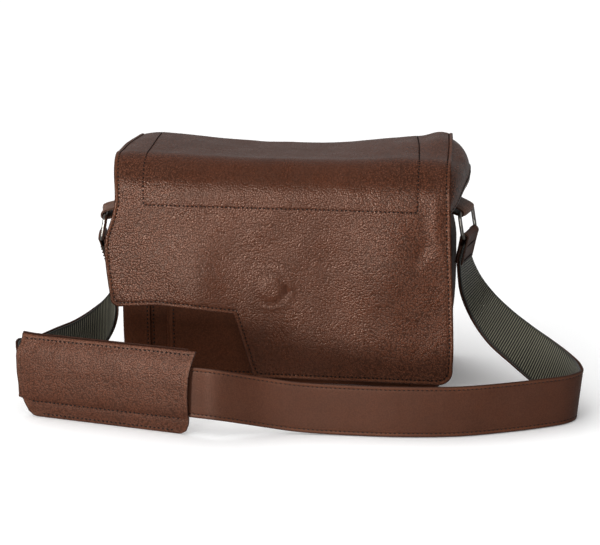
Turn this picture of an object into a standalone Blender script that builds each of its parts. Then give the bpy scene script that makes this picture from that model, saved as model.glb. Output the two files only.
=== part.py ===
"""A leather messenger camera bag, standing on its base with its shoulder strap laid round the front.

Frame: origin at the middle of the base, +X to the right as the flap is faced, +Y to the rear, +Z up.
All lengths are in metres. The flap closes over the top and the front, which looks along -Y.
"""

import math

import bmesh
import bpy
from mathutils import Matrix, Vector

# ---- driving dimensions ----
MM = 0.001
GAP = 0.3 * MM  # what touching pieces keep between them
LEATHER = 1.6 * MM  # shell and flap leather
LINING = 0.8 * MM

BODY_HALF_WIDTH = 166 * MM
BODY_FRONT = -64 * MM
BODY_BACK = 68.3 * MM
BODY_TOP = 218 * MM
PANEL = 2.0 * MM

INSERT_WALL = 9 * MM
INSERT_TOP = 192 * MM
DIVIDER = 7 * MM
DIVIDER_X = 52 * MM

POCKET_HALF_WIDTH = 113 * MM
POCKET_TOP = 170 * MM
POCKET_FOOT = 10 * MM
POCKET_FACE = -71.2 * MM
POCKET_SHEET = 1.8 * MM

FLAP_HALF_WIDTH = 175 * MM
FLAP_FACE = -78 * MM
FLAP_CREST = 240 * MM
FLAP_REAR = 70.3 * MM
FRONT_BEND = 40 * MM
FLAP_FOLD_Z = 186 * MM
FLAP_BOTTOM = 10.5 * MM
CUT_LEVEL = 81 * MM
CUT_TOP_X = -45 * MM
CUT_FOOT_X = -25 * MM
FLAP_CORNER = 14 * MM
STIFFENER = 1.2 * MM
STIFFENER_HALF_WIDTH = 140 * MM
LIFT_AXIS = Vector((0, 70.8 * MM, 238 * MM))
FOLD_AXIS = Vector((0, FLAP_FACE, FLAP_FOLD_Z))

SNAP_Z = 106 * MM
SNAP_RADIUS = 10 * MM
SNAP_HOLE = 3.4 * MM
SNAP_PIN = 2.6 * MM

EAR_START_X = 176.8 * MM
EAR_REACH = {"left": 7 * MM, "right": 15 * MM}
EAR_FOOT_Z = 178 * MM
EAR_MID_Z = 214 * MM

RING_X = {-1: 198 * MM, 1: 187 * MM}  # by side
RING_Z = {-1: 165 * MM, 1: 178 * MM}
RING_YAW = math.radians(12)
RING_TILT = math.radians(10)
RING_WIRE = 2.0 * MM
RING_LENGTH = 54 * MM
RING_DROP = 26 * MM
RING_CORNER = 5 * MM
TAB_WIDTH = 44 * MM
TAB_SHEET = 2.0 * MM
STRAP_END_DROP = 28.5 * MM
STRAP_END_LEAN = {-1: math.radians(15.5), 1: math.radians(11)}  # by side

STRAP_WIDTH = 50 * MM
STRAP_LEATHER = 1.6 * MM
STRAP_WEBBING = 1.5 * MM

PAD_LENGTH = 177 * MM
PAD_HEIGHT = 84 * MM
PAD_CENTRE = Vector((-146.5 * MM, -210.5 * MM, 0))
PAD_ANGLE = math.radians(-11)
PAD_FLANGE = 17 * MM
PAD_CORNER = 9 * MM
PAD_SLIDE_ROOM = 24 * MM

ZIP_Z = 161.5 * MM
ZIP_HALF_LENGTH = 140 * MM
ZIP_FACE = 68.6 * MM
ZIP_SLIDER_X = -126 * MM


# ---- building blocks ----
def clear_scene():
    for obj in list(bpy.data.objects):
        bpy.data.objects.remove(obj)


def material(name, colour, roughness, metallic=0.0):
    made = bpy.data.materials.new(name)
    made.use_nodes = True
    shader = made.node_tree.nodes["Principled BSDF"]
    shader.inputs["Base Color"].default_value = (*colour, 1)
    shader.inputs["Roughness"].default_value = roughness
    shader.inputs["Metallic"].default_value = metallic
    return made


def empty_at(name, place, parent=None):
    pivot = bpy.data.objects.new(name, None)
    bpy.context.scene.collection.objects.link(pivot)
    pivot.location = place
    if parent is not None:
        pivot.parent = parent
        pivot.location = Vector(place) - parent.matrix_world.translation
    bpy.context.view_layer.update()
    return pivot


def add_object(name, data, finish, parent=None):
    """Links a new object whose data is in world coordinates, under its pivot."""
    data.materials.append(finish)
    if isinstance(data, bpy.types.Mesh):
        data.shade_smooth()
        data.set_sharp_from_angle(angle=math.radians(32))
    obj = bpy.data.objects.new(name, data)
    bpy.context.scene.collection.objects.link(obj)
    if parent is not None:
        obj.parent = parent
        obj.matrix_parent_inverse = parent.matrix_world.inverted()
    return obj


def mesh_from(name, bm):
    bmesh.ops.recalc_face_normals(bm, faces=bm.faces)
    mesh = bpy.data.meshes.new(name)
    bm.to_mesh(mesh)
    bm.free()
    return mesh


def add_bevel(obj, width, segments=2):
    bevel = obj.modifiers.new("Bevel", "BEVEL")
    bevel.width = width
    bevel.segments = segments
    bevel.limit_method = "ANGLE"
    return obj


def block(name, low, high, finish, parent=None, bevel=0.0):
    """A box between two corners, with its edges rounded if bevel is given."""
    bm = bmesh.new()
    bmesh.ops.create_cube(bm, size=1)
    low, high = Vector(low), Vector(high)
    for vert in bm.verts:
        vert.co = [low[k] + (vert.co[k] + 0.5) * (high[k] - low[k]) for k in range(3)]
    obj = add_object(name, mesh_from(name, bm), finish, parent)
    return add_bevel(obj, bevel) if bevel else obj


def extrude_outline(name, corners, push, finish, parent=None, holes=()):
    """A flat outline of 3-D corners pushed along a vector, with straight holes cut through it."""
    bm = bmesh.new()
    face = bm.faces.new([bm.verts.new(c) for c in corners])
    grown = bmesh.ops.extrude_face_region(bm, geom=[face])["geom"]
    moved = [g for g in grown if isinstance(g, bmesh.types.BMVert)]
    bmesh.ops.translate(bm, verts=moved, vec=push)
    obj = add_object(name, mesh_from(name, bm), finish, parent)
    for number, hole in enumerate(holes):
        cutter = extrude_outline(
            f"{name}_cutter_{number}", [Vector(c) - Vector(push) for c in hole], 3 * Vector(push), finish, parent
        )
        cutter.hide_render = True
        cutter.display_type = "WIRE"
        cut = obj.modifiers.new("Hole", "BOOLEAN")
        cut.operation = "DIFFERENCE"
        cut.object = cutter
    return obj


def arc(centre, radius, start, end, steps):
    """Points of a circular arc in a plane, angles in degrees."""
    angles = [math.radians(start + (end - start) * i / steps) for i in range(steps + 1)]
    return [(centre[0] + radius * math.cos(a), centre[1] + radius * math.sin(a)) for a in angles]


def sheet(name, rows, thickness, finish, parent=None, side=-1.0):
    """A grid of points made solid. side -1 thickens behind the faces, +1 in front of them."""
    bm = bmesh.new()
    verts = [[bm.verts.new(p) for p in row] for row in rows]
    for lower, upper in zip(verts, verts[1:]):
        for a, b, c, d in zip(lower, lower[1:], upper[1:], upper):
            bm.faces.new((a, b, c, d))
    mesh = bpy.data.meshes.new(name)
    bm.to_mesh(mesh)
    bm.free()
    obj = add_object(name, mesh, finish, parent)
    solid = obj.modifiers.new("Thickness", "SOLIDIFY")
    solid.thickness = thickness
    solid.offset = side
    solid.use_even_offset = True
    return obj


def profile_band(name, profile, low, high, half_width, finish, parent=None):
    """A band of leather bent over a profile in the YZ plane: from depth low to depth high inside it."""
    outer, inner = inset_profile(profile, low), inset_profile(profile, high)
    corners = [(-half_width, y, z) for y, z in outer + inner[::-1]]
    return extrude_outline(name, corners, (2 * half_width, 0, 0), finish, parent)


def inset_profile(profile, depth):
    """The profile moved towards its inner side, which is on the left as it is walked from rear to front."""
    moved = []
    for i, point in enumerate(profile):
        before = Vector(profile[max(i - 1, 0)])
        after = Vector(profile[min(i + 1, len(profile) - 1)])
        along = (after - before).normalized()
        moved.append((point[0] - along.y * depth, point[1] + along.x * depth))
    return moved


# ---- shell of the bag ----
def make_shell(mats):
    inner_x = BODY_HALF_WIDTH - PANEL
    lift = PANEL + GAP
    block("base_panel", (-BODY_HALF_WIDTH, BODY_FRONT, 0), (BODY_HALF_WIDTH, BODY_BACK, PANEL), mats["leather"])
    block(
        "front_panel",
        (-inner_x + GAP, BODY_FRONT, lift),
        (inner_x - GAP, BODY_FRONT + PANEL, BODY_TOP),
        mats["leather"],
    )
    block(
        "back_panel",
        (-inner_x + GAP, BODY_BACK - PANEL, lift),
        (inner_x - GAP, BODY_BACK, BODY_TOP + 12 * MM),
        mats["leather"],
    )
    for side, word in ((-1, "left"), (1, "right")):
        outer, inner = side * BODY_HALF_WIDTH, side * inner_x
        block(
            f"gusset_{word}",
            (min(outer, inner), BODY_FRONT, lift),
            (max(outer, inner), BODY_BACK, BODY_TOP + 2 * MM),
            mats["leather"],
        )
        make_corner_band(word, side, mats)
    make_lining(mats)


def make_corner_band(word, side, mats):
    """The leather band that wraps a front corner of the shell and covers its seam."""
    edge = BODY_HALF_WIDTH + GAP
    face = BODY_FRONT - GAP
    thick = LEATHER
    outline = [
        (134 * MM, face),
        (134 * MM, face - thick),
        (edge + thick, face - thick),
        (edge + thick, -44 * MM),
        (edge, -44 * MM),
        (edge, face),
    ]
    corners = [(side * x, y, lift_of_base()) for x, y in outline]
    extrude_outline(f"corner_band_{word}", corners, (0, 0, BODY_TOP - 8 * MM), mats["leather"])


def lift_of_base():
    """Height at which the upright panels start, just above the base panel."""
    return PANEL + GAP


def open_box(name, low, high, wall, floor, finish, bevel=0.0):
    """A tray: a box with a hollow cut in from its top."""
    low, high = Vector(low), Vector(high)
    bm = bmesh.new()
    bmesh.ops.create_cube(bm, size=1)
    for vert in bm.verts:
        vert.co = [low[k] + (vert.co[k] + 0.5) * (high[k] - low[k]) for k in range(3)]
    top = max(bm.faces, key=lambda f: f.calc_center_median().z)
    bmesh.ops.inset_region(bm, faces=[top], thickness=wall, use_even_offset=True)
    sunk = bmesh.ops.extrude_face_region(bm, geom=[top])["geom"]
    bmesh.ops.delete(bm, geom=[top], context="FACES_ONLY")
    verts = [g for g in sunk if isinstance(g, bmesh.types.BMVert)]
    bmesh.ops.translate(bm, verts=verts, vec=(0, 0, low.z + floor - high.z))
    obj = add_object(name, mesh_from(name, bm), finish)
    return add_bevel(obj, bevel) if bevel else obj


def make_lining(mats):
    edge = BODY_HALF_WIDTH - PANEL - GAP
    front, back = BODY_FRONT + PANEL + GAP, BODY_BACK - PANEL - GAP
    open_box(
        "shell_lining",
        (-edge, front, PANEL + GAP),
        (edge, back, BODY_TOP - 4 * MM),
        LINING,
        LINING,
        mats["fabric"],
    )
    skin = LINING + GAP
    board_top = PANEL + skin + GAP + 2.5 * MM
    block(
        "base_board",
        (-edge + skin + 3 * MM, front + skin + 3 * MM, PANEL + skin + GAP),
        (edge - skin - 3 * MM, back - skin - 3 * MM, board_top),
        mats["board"],
    )
    low = Vector((-edge + skin + 1 * MM, front + skin + 1 * MM, board_top + GAP))
    high = Vector((edge - skin - 1 * MM, back - skin - 1 * MM, INSERT_TOP))
    open_box("camera_insert", low, high, INSERT_WALL, INSERT_WALL, mats["foam"], bevel=2.5 * MM)
    make_dividers(low, high, mats)


def make_dividers(low, high, mats):
    """Two padded walls held by hook-and-loop between the insert's long sides."""
    gap = 2 * GAP
    for side, word in ((-1, "left"), (1, "right")):
        pivot = empty_at(f"divider_{word}_track", (side * DIVIDER_X, 0, low.z + INSERT_WALL))
        block(
            f"divider_{word}",
            (side * DIVIDER_X - DIVIDER / 2, low.y + INSERT_WALL + gap, low.z + INSERT_WALL + gap),
            (side * DIVIDER_X + DIVIDER / 2, high.y - INSERT_WALL - gap, INSERT_TOP - 14 * MM),
            mats["foam"],
            pivot,
            bevel=2.5 * MM,
        )


# ---- front pocket with its magnetic snap ----
def make_front_pocket(mats):
    w, face = POCKET_HALF_WIDTH, POCKET_FACE
    inner = face + POCKET_SHEET
    block("pocket_panel", (-w, face, POCKET_FOOT), (w, inner, POCKET_TOP), mats["leather"])
    low_y, high_y = inner + GAP, BODY_FRONT - GAP
    for side, word in ((-1, "left"), (1, "right")):
        a, b = sorted((side * w, side * (w - PANEL)))
        block(f"pocket_gusset_{word}", (a, low_y, POCKET_FOOT), (b, high_y, POCKET_TOP - 2 * MM), mats["leather"])
    reach = w - PANEL - GAP
    block(
        "pocket_floor",
        (-reach, low_y, POCKET_FOOT),
        (reach, high_y, POCKET_FOOT + PANEL),
        mats["leather"],
    )
    hole = arc((0, SNAP_Z), SNAP_HOLE, 0, 345, 23)
    disc = arc((0, SNAP_Z), SNAP_RADIUS, 0, 345, 23)
    socket_back = face - GAP
    socket_face = socket_back - 1.7 * MM
    extrude_outline(
        "snap_socket",
        [(x, socket_back, z) for x, z in disc],
        (0, socket_face - socket_back, 0),
        mats["steel"],
        holes=[[(x, socket_back, z) for x, z in hole]],
    )
    return socket_face


def make_snap_stud(socket_face, pivot, mats):
    """The stud on the flap's lining: a disc with a pin that sits in the socket's hole."""
    bm = bmesh.new()
    face = socket_face - GAP
    back = face - 1.3 * MM
    for radius, start, end in ((SNAP_RADIUS, back, face), (SNAP_PIN, face - 0.4 * MM, face + 1.5 * MM)):
        place = Matrix.Translation((0, (start + end) / 2, SNAP_Z)) @ Matrix.Rotation(math.pi / 2, 4, "X")
        bmesh.ops.create_cone(
            bm, cap_ends=True, segments=24, radius1=radius, radius2=radius, depth=end - start, matrix=place
        )
    mesh = mesh_from("snap_stud", bm)
    obj = add_object("snap_stud", mesh, mats["steel"], pivot)
    union = obj.modifiers.new("Union", "BOOLEAN")
    union.operation = "UNION"
    union.operand_type = "OBJECT"
    union.use_self = True
    helper = block(
        "snap_stud_core",
        (-1 * MM, back + 0.2 * MM, SNAP_Z - 1 * MM),
        (1 * MM, face + 1.0 * MM, SNAP_Z + 1 * MM),
        mats["steel"],
        pivot,
    )
    helper.hide_render = True
    helper.display_type = "WIRE"
    union.object = helper


# ---- flap: stiffened top, soft front and side ears ----
def flap_profile():
    """The flap's outer line in the YZ plane, from the rear edge over the crest and down to the fold."""
    rear = (FLAP_REAR - 4 * MM, FLAP_CREST - 0.6 * MM)
    bend_centre = (FLAP_FACE + FRONT_BEND, FLAP_CREST - FRONT_BEND)
    crest = [(FLAP_REAR - 12 * MM, FLAP_CREST), (0, FLAP_CREST)]
    bend = arc(bend_centre, FRONT_BEND, 90, 180, 9)
    return [rear, *crest, *bend, (FLAP_FACE, FLAP_FOLD_Z + GAP)]


def make_flap_top(pivot, mats):
    profile = flap_profile()
    profile_band("flap_top_leather", profile, 0, LEATHER, FLAP_HALF_WIDTH, mats["leather"], pivot)
    deep = LEATHER + GAP
    profile_band(
        "flap_stiffener",
        profile[1:],
        deep,
        deep + STIFFENER,
        STIFFENER_HALF_WIDTH,
        mats["board"],
        pivot,
    )
    deep += STIFFENER + GAP
    profile_band(
        "flap_top_lining",
        profile,
        deep,
        deep + LINING,
        FLAP_HALF_WIDTH - 3 * MM,
        mats["fabric"],
        pivot,
    )
    for side, word in ((-1, "left"), (1, "right")):
        make_ear(word, side, pivot, mats)


def make_ear(word, side, pivot, mats):
    """A side wing sewn to the flap's edge that spreads over the top of the gusset."""
    start = (FLAP_FACE, EAR_FOOT_Z)
    path = [start, (FLAP_FACE, EAR_FOOT_Z + 10 * MM)]
    path += arc((FLAP_FACE + FRONT_BEND, FLAP_CREST - FRONT_BEND), FRONT_BEND, 180, 90, 6)
    path += [(y * MM, FLAP_CREST) for y in (-20, 0, 20, 40, 56)]
    path.append((FLAP_REAR - 5 * MM, FLAP_CREST - 1 * MM))
    rows = []
    for i, (edge_y, edge_z) in enumerate(path):
        s = i / (len(path) - 1)
        hem = Vector(
            (
                EAR_START_X + 0.8 * MM + EAR_REACH[word] * math.sin(math.pi * s),
                FLAP_FACE + 4 * MM + (FLAP_REAR - FLAP_FACE - 8 * MM) * s,
                EAR_FOOT_Z - 1 * MM + (EAR_MID_Z - EAR_FOOT_Z) * math.sin(min(1, s / 0.55) * math.pi / 2),
            )
        )
        edge = Vector((EAR_START_X, edge_y, edge_z))
        row = []
        for j in range(5):
            t = j / 4
            swell = 3 * MM * math.sin(math.pi * t) * math.sin(math.pi * s)
            point = edge.lerp(hem, t) + Vector((swell, 0, swell * 0.5))
            row.append((side * point.x, point.y, point.z))
        rows.append(row)
    sheet(f"ear_{word}", rows, LEATHER, mats["leather"], pivot, side=-1.0 if side > 0 else 1.0)


def front_outline(margin):
    """The soft front of the flap in the XZ plane, with the step cut out of its lower left."""
    w = FLAP_HALF_WIDTH - margin
    foot = FLAP_BOTTOM + margin
    level = CUT_LEVEL + margin
    r = FLAP_CORNER - margin / 2
    points = [(w, FLAP_FOLD_Z - GAP), (-w, FLAP_FOLD_Z - GAP)]
    points += arc((-w + r, level + r), r, 180, 270, 4)
    points += [(CUT_TOP_X + margin, level), (CUT_FOOT_X - 3 * MM + margin, foot + 5 * MM)]
    points += [(CUT_FOOT_X + 3 * MM + margin, foot)]
    points += arc((w - r, foot + r), r, 270, 360, 4)
    return points


def make_flap_front(pivot, socket_face, mats):
    extrude_outline(
        "flap_front_leather",
        [(x, FLAP_FACE, z) for x, z in front_outline(0)],
        (0, LEATHER, 0),
        mats["leather"],
        pivot,
    )
    inside = FLAP_FACE + LEATHER + GAP
    extrude_outline(
        "flap_front_lining",
        [(x, inside, z) for x, z in front_outline(3 * MM)],
        (0, LINING, 0),
        mats["fabric"],
        pivot,
    )
    make_snap_stud(socket_face, pivot, mats)


def make_flap_anchor(mats):
    """The flap's rear edge, turned down and sewn to the back panel."""
    block(
        "flap_anchor",
        (-FLAP_HALF_WIDTH + 6 * MM, BODY_BACK + GAP, 200 * MM),
        (FLAP_HALF_WIDTH - 6 * MM, BODY_BACK + GAP + LEATHER, 233 * MM),
        mats["leather"],
    )


# ---- rear zipped pocket ----
def make_rear_pocket(mats):
    half, face = ZIP_HALF_LENGTH, ZIP_FACE
    chain = 3 * MM
    tape = 11 * MM
    block(
        "rear_pocket_panel",
        (-half, face, 20 * MM),
        (half, face + 1.8 * MM, ZIP_Z - chain - tape),
        mats["leather"],
        bevel=0.6 * MM,
    )
    for low, high, word in ((-chain - tape, -chain, "lower"), (chain, chain + tape, "upper")):
        block(
            f"rear_zip_tape_{word}",
            (-half, face, ZIP_Z + low + GAP),
            (half, face + 0.7 * MM, ZIP_Z + high - GAP),
            mats["fabric"],
        )
    block(
        "rear_zip_chain",
        (-half + 6 * MM, face, ZIP_Z - chain + GAP),
        (half - 6 * MM, face + 1.6 * MM, ZIP_Z + chain - GAP),
        mats["steel"],
    )
    make_zip_slider(mats)


def make_zip_slider(mats):
    """The slider with its bridge, and the pull that hangs from the bridge."""
    track = empty_at("zip_slide_axis", (ZIP_SLIDER_X, ZIP_FACE + 2.2 * MM, ZIP_Z))
    x, y = ZIP_SLIDER_X, ZIP_FACE + 2.2 * MM
    low, post, crown = y + 2.0 * MM, 1.2 * MM, 1.2 * MM
    inside = 2.6 * MM
    half = 4.2 * MM
    side = [
        (y, ZIP_Z - 6 * MM),
        (y, ZIP_Z + 6 * MM),
        (low, ZIP_Z + 6 * MM),
        (low, ZIP_Z + half),
        (low + inside + crown, ZIP_Z + half - 1 * MM),
        (low + inside + crown, ZIP_Z - half + 1 * MM),
        (low, ZIP_Z - half),
        (low, ZIP_Z - 6 * MM),
    ]
    slot = [
        (low, ZIP_Z - half + post),
        (low, ZIP_Z + half - post),
        (low + inside, ZIP_Z + half - post - 0.6 * MM),
        (low + inside, ZIP_Z - half + post + 0.6 * MM),
    ]
    bridge_half = 1.5 * MM
    extrude_outline(
        "zip_slider",
        [(x - bridge_half, a, b) for a, b in side],
        (2 * bridge_half, 0, 0),
        mats["steel"],
        track,
        holes=[[(x - bridge_half, a, b) for a, b in slot]],
    )
    hinge = Vector((x, low + inside / 2, ZIP_Z + 1.0 * MM))
    pivot = empty_at("zip_pull_axis", hinge, track)
    plate = 0.6 * MM
    wide, long = 4.5 * MM, 26 * MM
    outline = [(-wide, 0.7 * MM), (wide, 0.7 * MM), (wide * 0.8, -long), (-wide * 0.8, -long)]
    hole = [(-2.2 * MM, -0.8 * MM), (2.2 * MM, -0.8 * MM), (2.2 * MM, -9 * MM), (-2.2 * MM, -9 * MM)]
    extrude_outline(
        "zip_pull",
        [(x + a, hinge.y - plate, hinge.z + b) for a, b in outline],
        (0, 2 * plate, 0),
        mats["steel"],
        pivot,
        holes=[[(x + a, hinge.y - plate, hinge.z + b) for a, b in hole]],
    )


# ---- side tabs, rings and the ends of the strap ----
def ring_frame(side):
    """A frame on the ring's upper bar: X outwards, Y along the bar, Z up; yawed as the strap pulls it."""
    turn = Matrix.Rotation(-side * RING_YAW, 4, "Z")
    mirror = Matrix.Diagonal((side, 1, 1, 1))
    return Matrix.Translation((side * RING_X[side], 0, RING_Z[side])) @ turn @ mirror


def make_ring_set(side, word, mats):
    frame = ring_frame(side)
    pivot = empty_at(f"ring_{word}_axis", frame.translation)
    make_tab(f"tab_{word}", side, frame, mats)
    tilt = Matrix.Rotation(-RING_TILT, 4, "Y")
    hang = frame @ tilt
    make_ring(f"ring_{word}", hang, pivot, mats)
    make_strap_end(f"strap_end_{word}", hang @ Matrix.Translation((0, 0, -RING_DROP)), side, pivot, mats)


def make_ring(name, frame, pivot, mats):
    """A rectangular loop of round wire, its upper bar on the frame's origin."""
    half, drop, r = RING_LENGTH / 2, RING_DROP, RING_CORNER
    corners = ((half - r, -r, 0), (-half + r, -r, 90), (-half + r, -drop + r, 180), (half - r, -drop + r, 270))
    points = [p for y, z, start in corners for p in arc((y, z), r, start, start + 90, 4)]
    curve = bpy.data.curves.new(name, "CURVE")
    curve.dimensions = "3D"
    curve.bevel_depth = RING_WIRE
    curve.bevel_resolution = 3
    spline = curve.splines.new("POLY")
    spline.points.add(len(points) - 1)
    for target, (y, z) in zip(spline.points, points):
        target.co = (*(frame @ Vector((0, y, z))), 1)
    spline.use_cyclic_u = True
    add_object(name, curve, mats["steel"], pivot)


def loop_outline(reach, leg_end):
    """A strip folded round a bar at the origin, in the frame's XZ plane: its outside, from leg to leg."""
    radius = RING_WIRE + 0.4 * MM + TAB_SHEET
    start, end = reach
    return arc((0, 0), radius, start, end, 10) + leg_end


def make_tab(name, side, frame, mats):
    """The leather tab that holds the ring: sewn flat to the gusset, folded round the ring's upper bar."""
    sewn_x = BODY_HALF_WIDTH + GAP - RING_X[side]
    top, foot = 38 * MM, 14 * MM
    thick = 2 * TAB_SHEET
    legs = [(sewn_x + thick, foot + 4 * MM), (sewn_x + thick, top), (sewn_x, top), (sewn_x, foot - 4 * MM)]
    outline = loop_outline((245, 405), legs)
    bore = arc((0, 0), RING_WIRE + 0.4 * MM, 0, 340, 17)
    tab = extrude_outline(
        name,
        [frame @ Vector((x, -TAB_WIDTH / 2, z)) for x, z in outline],
        frame.to_3x3() @ Vector((0, TAB_WIDTH, 0)),
        mats["leather"],
        holes=[[frame @ Vector((x, -TAB_WIDTH / 2, z)) for x, z in bore]],
    )
    straighten_sewn_end(tab, side, frame)


def straighten_sewn_end(tab, side, frame):
    """Turns the tab's upper part back until it lies flat on the gusset."""
    limit = BODY_HALF_WIDTH + GAP
    for vert in tab.data.vertices:
        local = frame.inverted() @ vert.co
        if local.z > 8 * MM:
            flat = frame.translation + Vector((side * local.x, local.y, local.z))
            flat.x = side * max(side * flat.x, limit)
            vert.co = flat


def make_strap_end(name, frame, side, pivot, mats):
    """The leather end of the strap, folded round the ring's lower bar and hanging from it."""
    lean = Matrix.Rotation(STRAP_END_LEAN[side], 4, "Y")
    upright = Matrix.Translation(frame.translation) @ ring_frame(side).to_3x3().to_4x4() @ lean
    thick = STRAP_LEATHER + STRAP_WEBBING + 3 * MM
    foot = -STRAP_END_DROP
    legs = [(-thick / 2, foot), (thick / 2, foot), (thick / 2, -9 * MM)]
    outline = loop_outline((-30, 210), [(-thick / 2, -9 * MM), *legs])
    bore = arc((0, 0), RING_WIRE + 0.4 * MM, 0, 340, 17)
    width = STRAP_WIDTH - 4 * MM
    extrude_outline(
        name,
        [upright @ Vector((x, -width / 2, z)) for x, z in outline],
        upright.to_3x3() @ Vector((0, width, 0)),
        mats["leather"],
        pivot,
        holes=[[upright @ Vector((x, -width / 2, z)) for x, z in bore]],
    )


# ---- shoulder strap ----
def strap_stations():
    """Lower and upper edge of the strap, in millimetres, from the right ring round the front to the left."""
    right = [
        ((182, -25, 120), (194, 24, 120)),
        ((186, -34, 98), (203, 10, 105)),
        ((199, -47, 73), (216, -9, 93)),
        ((217, -60, 54), (235, -29, 79)),
        ((241, -75, 36), (260, -46, 66)),
        ((266, -89, 18), (283, -68, 57)),
        ((287, -103, 4), (301, -94, 51)),
        ((300, -118, 0.5), (306, -117, 50.5)),
        ((302, -131, 0.5), (306, -132, 50.5)),
        ((293, -146, 0.5), (294, -148, 50.5)),
        ((267, -163, 0.5), (267, -164, 50.5)),
        ((231, -181, 0.5), (231, -182, 50.5)),
        ((190, -197, 0.5), (190, -198, 50.5)),
        ((137, -206, 0.5), (137, -206, 50.5)),
        ((88, -208, 0.5), (88, -208, 50.5)),
        ((42, -210, 2), (42, -210, 52)),
        ((8, -215, 7), (8, -215, 57)),
    ]
    left = [
        ((-240.8, -185, 20.5), (-240.8, -185, 70.5)),
        ((-242.3, -172, 20), (-242.3, -172, 70)),
        ((-246, -150, 14), (-246, -150, 64)),
        ((-248.5, -122, 6), (-248.5, -122, 56)),
        ((-246, -94, 2), (-246, -94, 52)),
        ((-237, -66, 2), (-237, -67, 52)),
        ((-220, -47, 6), (-221, -45, 56)),
        ((-203, -37, 17), (-206, -25, 65)),
        ((-189, -36, 35), (-195, -10, 75)),
        ((-181, -35, 57), (-190, 6, 87)),
        ((-183, -30, 83), (-194, 17, 98)),
        ((-187, -25, 104.5), (-199, 23, 106.5)),
    ]
    along = Vector((math.cos(PAD_ANGLE), math.sin(PAD_ANGLE), 0))
    reach = PAD_LENGTH / 2
    straight = []
    for distance in (reach + PAD_SLIDE_ROOM, reach + 4 * MM, 0, -reach + 1 * MM, -reach - 4 * MM):
        foot = (PAD_CENTRE + along * distance) / MM
        low = PAD_FLANGE / MM + 1
        straight.append(((foot.x, foot.y, low), (foot.x, foot.y, low + STRAP_WIDTH / MM)))
    return [(Vector(a) * MM, Vector(b) * MM) for a, b in right + straight + left]


def smooth_line(guide, values, steps):
    """A centripetal Catmull-Rom curve through the values, spaced as the guide points are."""
    gaps = [(b - a).length ** 0.5 for a, b in zip(guide, guide[1:])]
    gaps = [gaps[0], *gaps, gaps[-1]]
    ends = [2 * values[0] - values[1], *values, 2 * values[-1] - values[-2]]
    line = []
    for i, (a, b, c, d) in enumerate(zip(ends, ends[1:], ends[2:], ends[3:])):
        k1 = gaps[i]
        k2 = k1 + gaps[i + 1]
        k3 = k2 + gaps[i + 2]
        for j in range(steps):
            t = k1 + (k2 - k1) * j / steps
            ab = a.lerp(b, t / k1)
            bc = b.lerp(c, (t - k1) / (k2 - k1))
            cd = c.lerp(d, (t - k2) / (k3 - k2))
            abc = ab.lerp(bc, t / k2)
            bcd = bc.lerp(cd, (t - k1) / (k3 - k1))
            line.append(abc.lerp(bcd, (t - k1) / (k2 - k1)))
    line.append(values[-1])
    return line


def make_strap(mats):
    """Leather facing and webbing, sewn back to back: two thin bands that follow one ruled surface."""
    stations = strap_stations()
    steps = 4
    centres = [(a + b) / 2 for a, b in stations]
    middle = smooth_line(centres, centres, steps)
    across = smooth_line(centres, [(b - a).normalized() for a, b in stations], steps)
    normals = []
    for i, wide in enumerate(across):
        along = (middle[min(i + 1, len(middle) - 1)] - middle[max(i - 1, 0)]).normalized()
        normals.append(along.cross(wide).normalized())
    layers = (
        ("strap_leather", STRAP_WIDTH, -GAP - STRAP_LEATHER, -GAP, "leather"),
        ("strap_webbing", STRAP_WIDTH - 2 * MM, GAP, GAP + STRAP_WEBBING, "webbing"),
    )
    for name, width, low, high, finish in layers:
        add_object(name, ribbon_mesh(name, middle, across, normals, width, (low, high)), mats[finish])


def ribbon_mesh(name, middle, across, normals, width, depths):
    """A flat band between two depths of a ruled surface, split with matching diagonals throughout."""
    bm = bmesh.new()
    places = [(x, depths[0]) for x in (-0.5, 0, 0.5)] + [(x, depths[1]) for x in (0.5, 0, -0.5)]
    sections = []
    for centre, wide, normal in zip(middle, across, normals):
        side = wide.normalized() * width
        sections.append([bm.verts.new(centre + side * x + normal * depth) for x, depth in places])
    for before, after in zip(sections, sections[1:]):
        for k in range(6):
            n = (k + 1) % 6
            if k < 3:
                bm.faces.new((before[k], before[n], after[n]))
                bm.faces.new((before[k], after[n], after[k]))
            else:
                bm.faces.new((before[k], before[n], after[k]))
                bm.faces.new((before[n], after[n], after[k]))
    bm.faces.new(sections[0])
    bm.faces.new(sections[-1])
    return mesh_from(name, bm)


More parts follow.
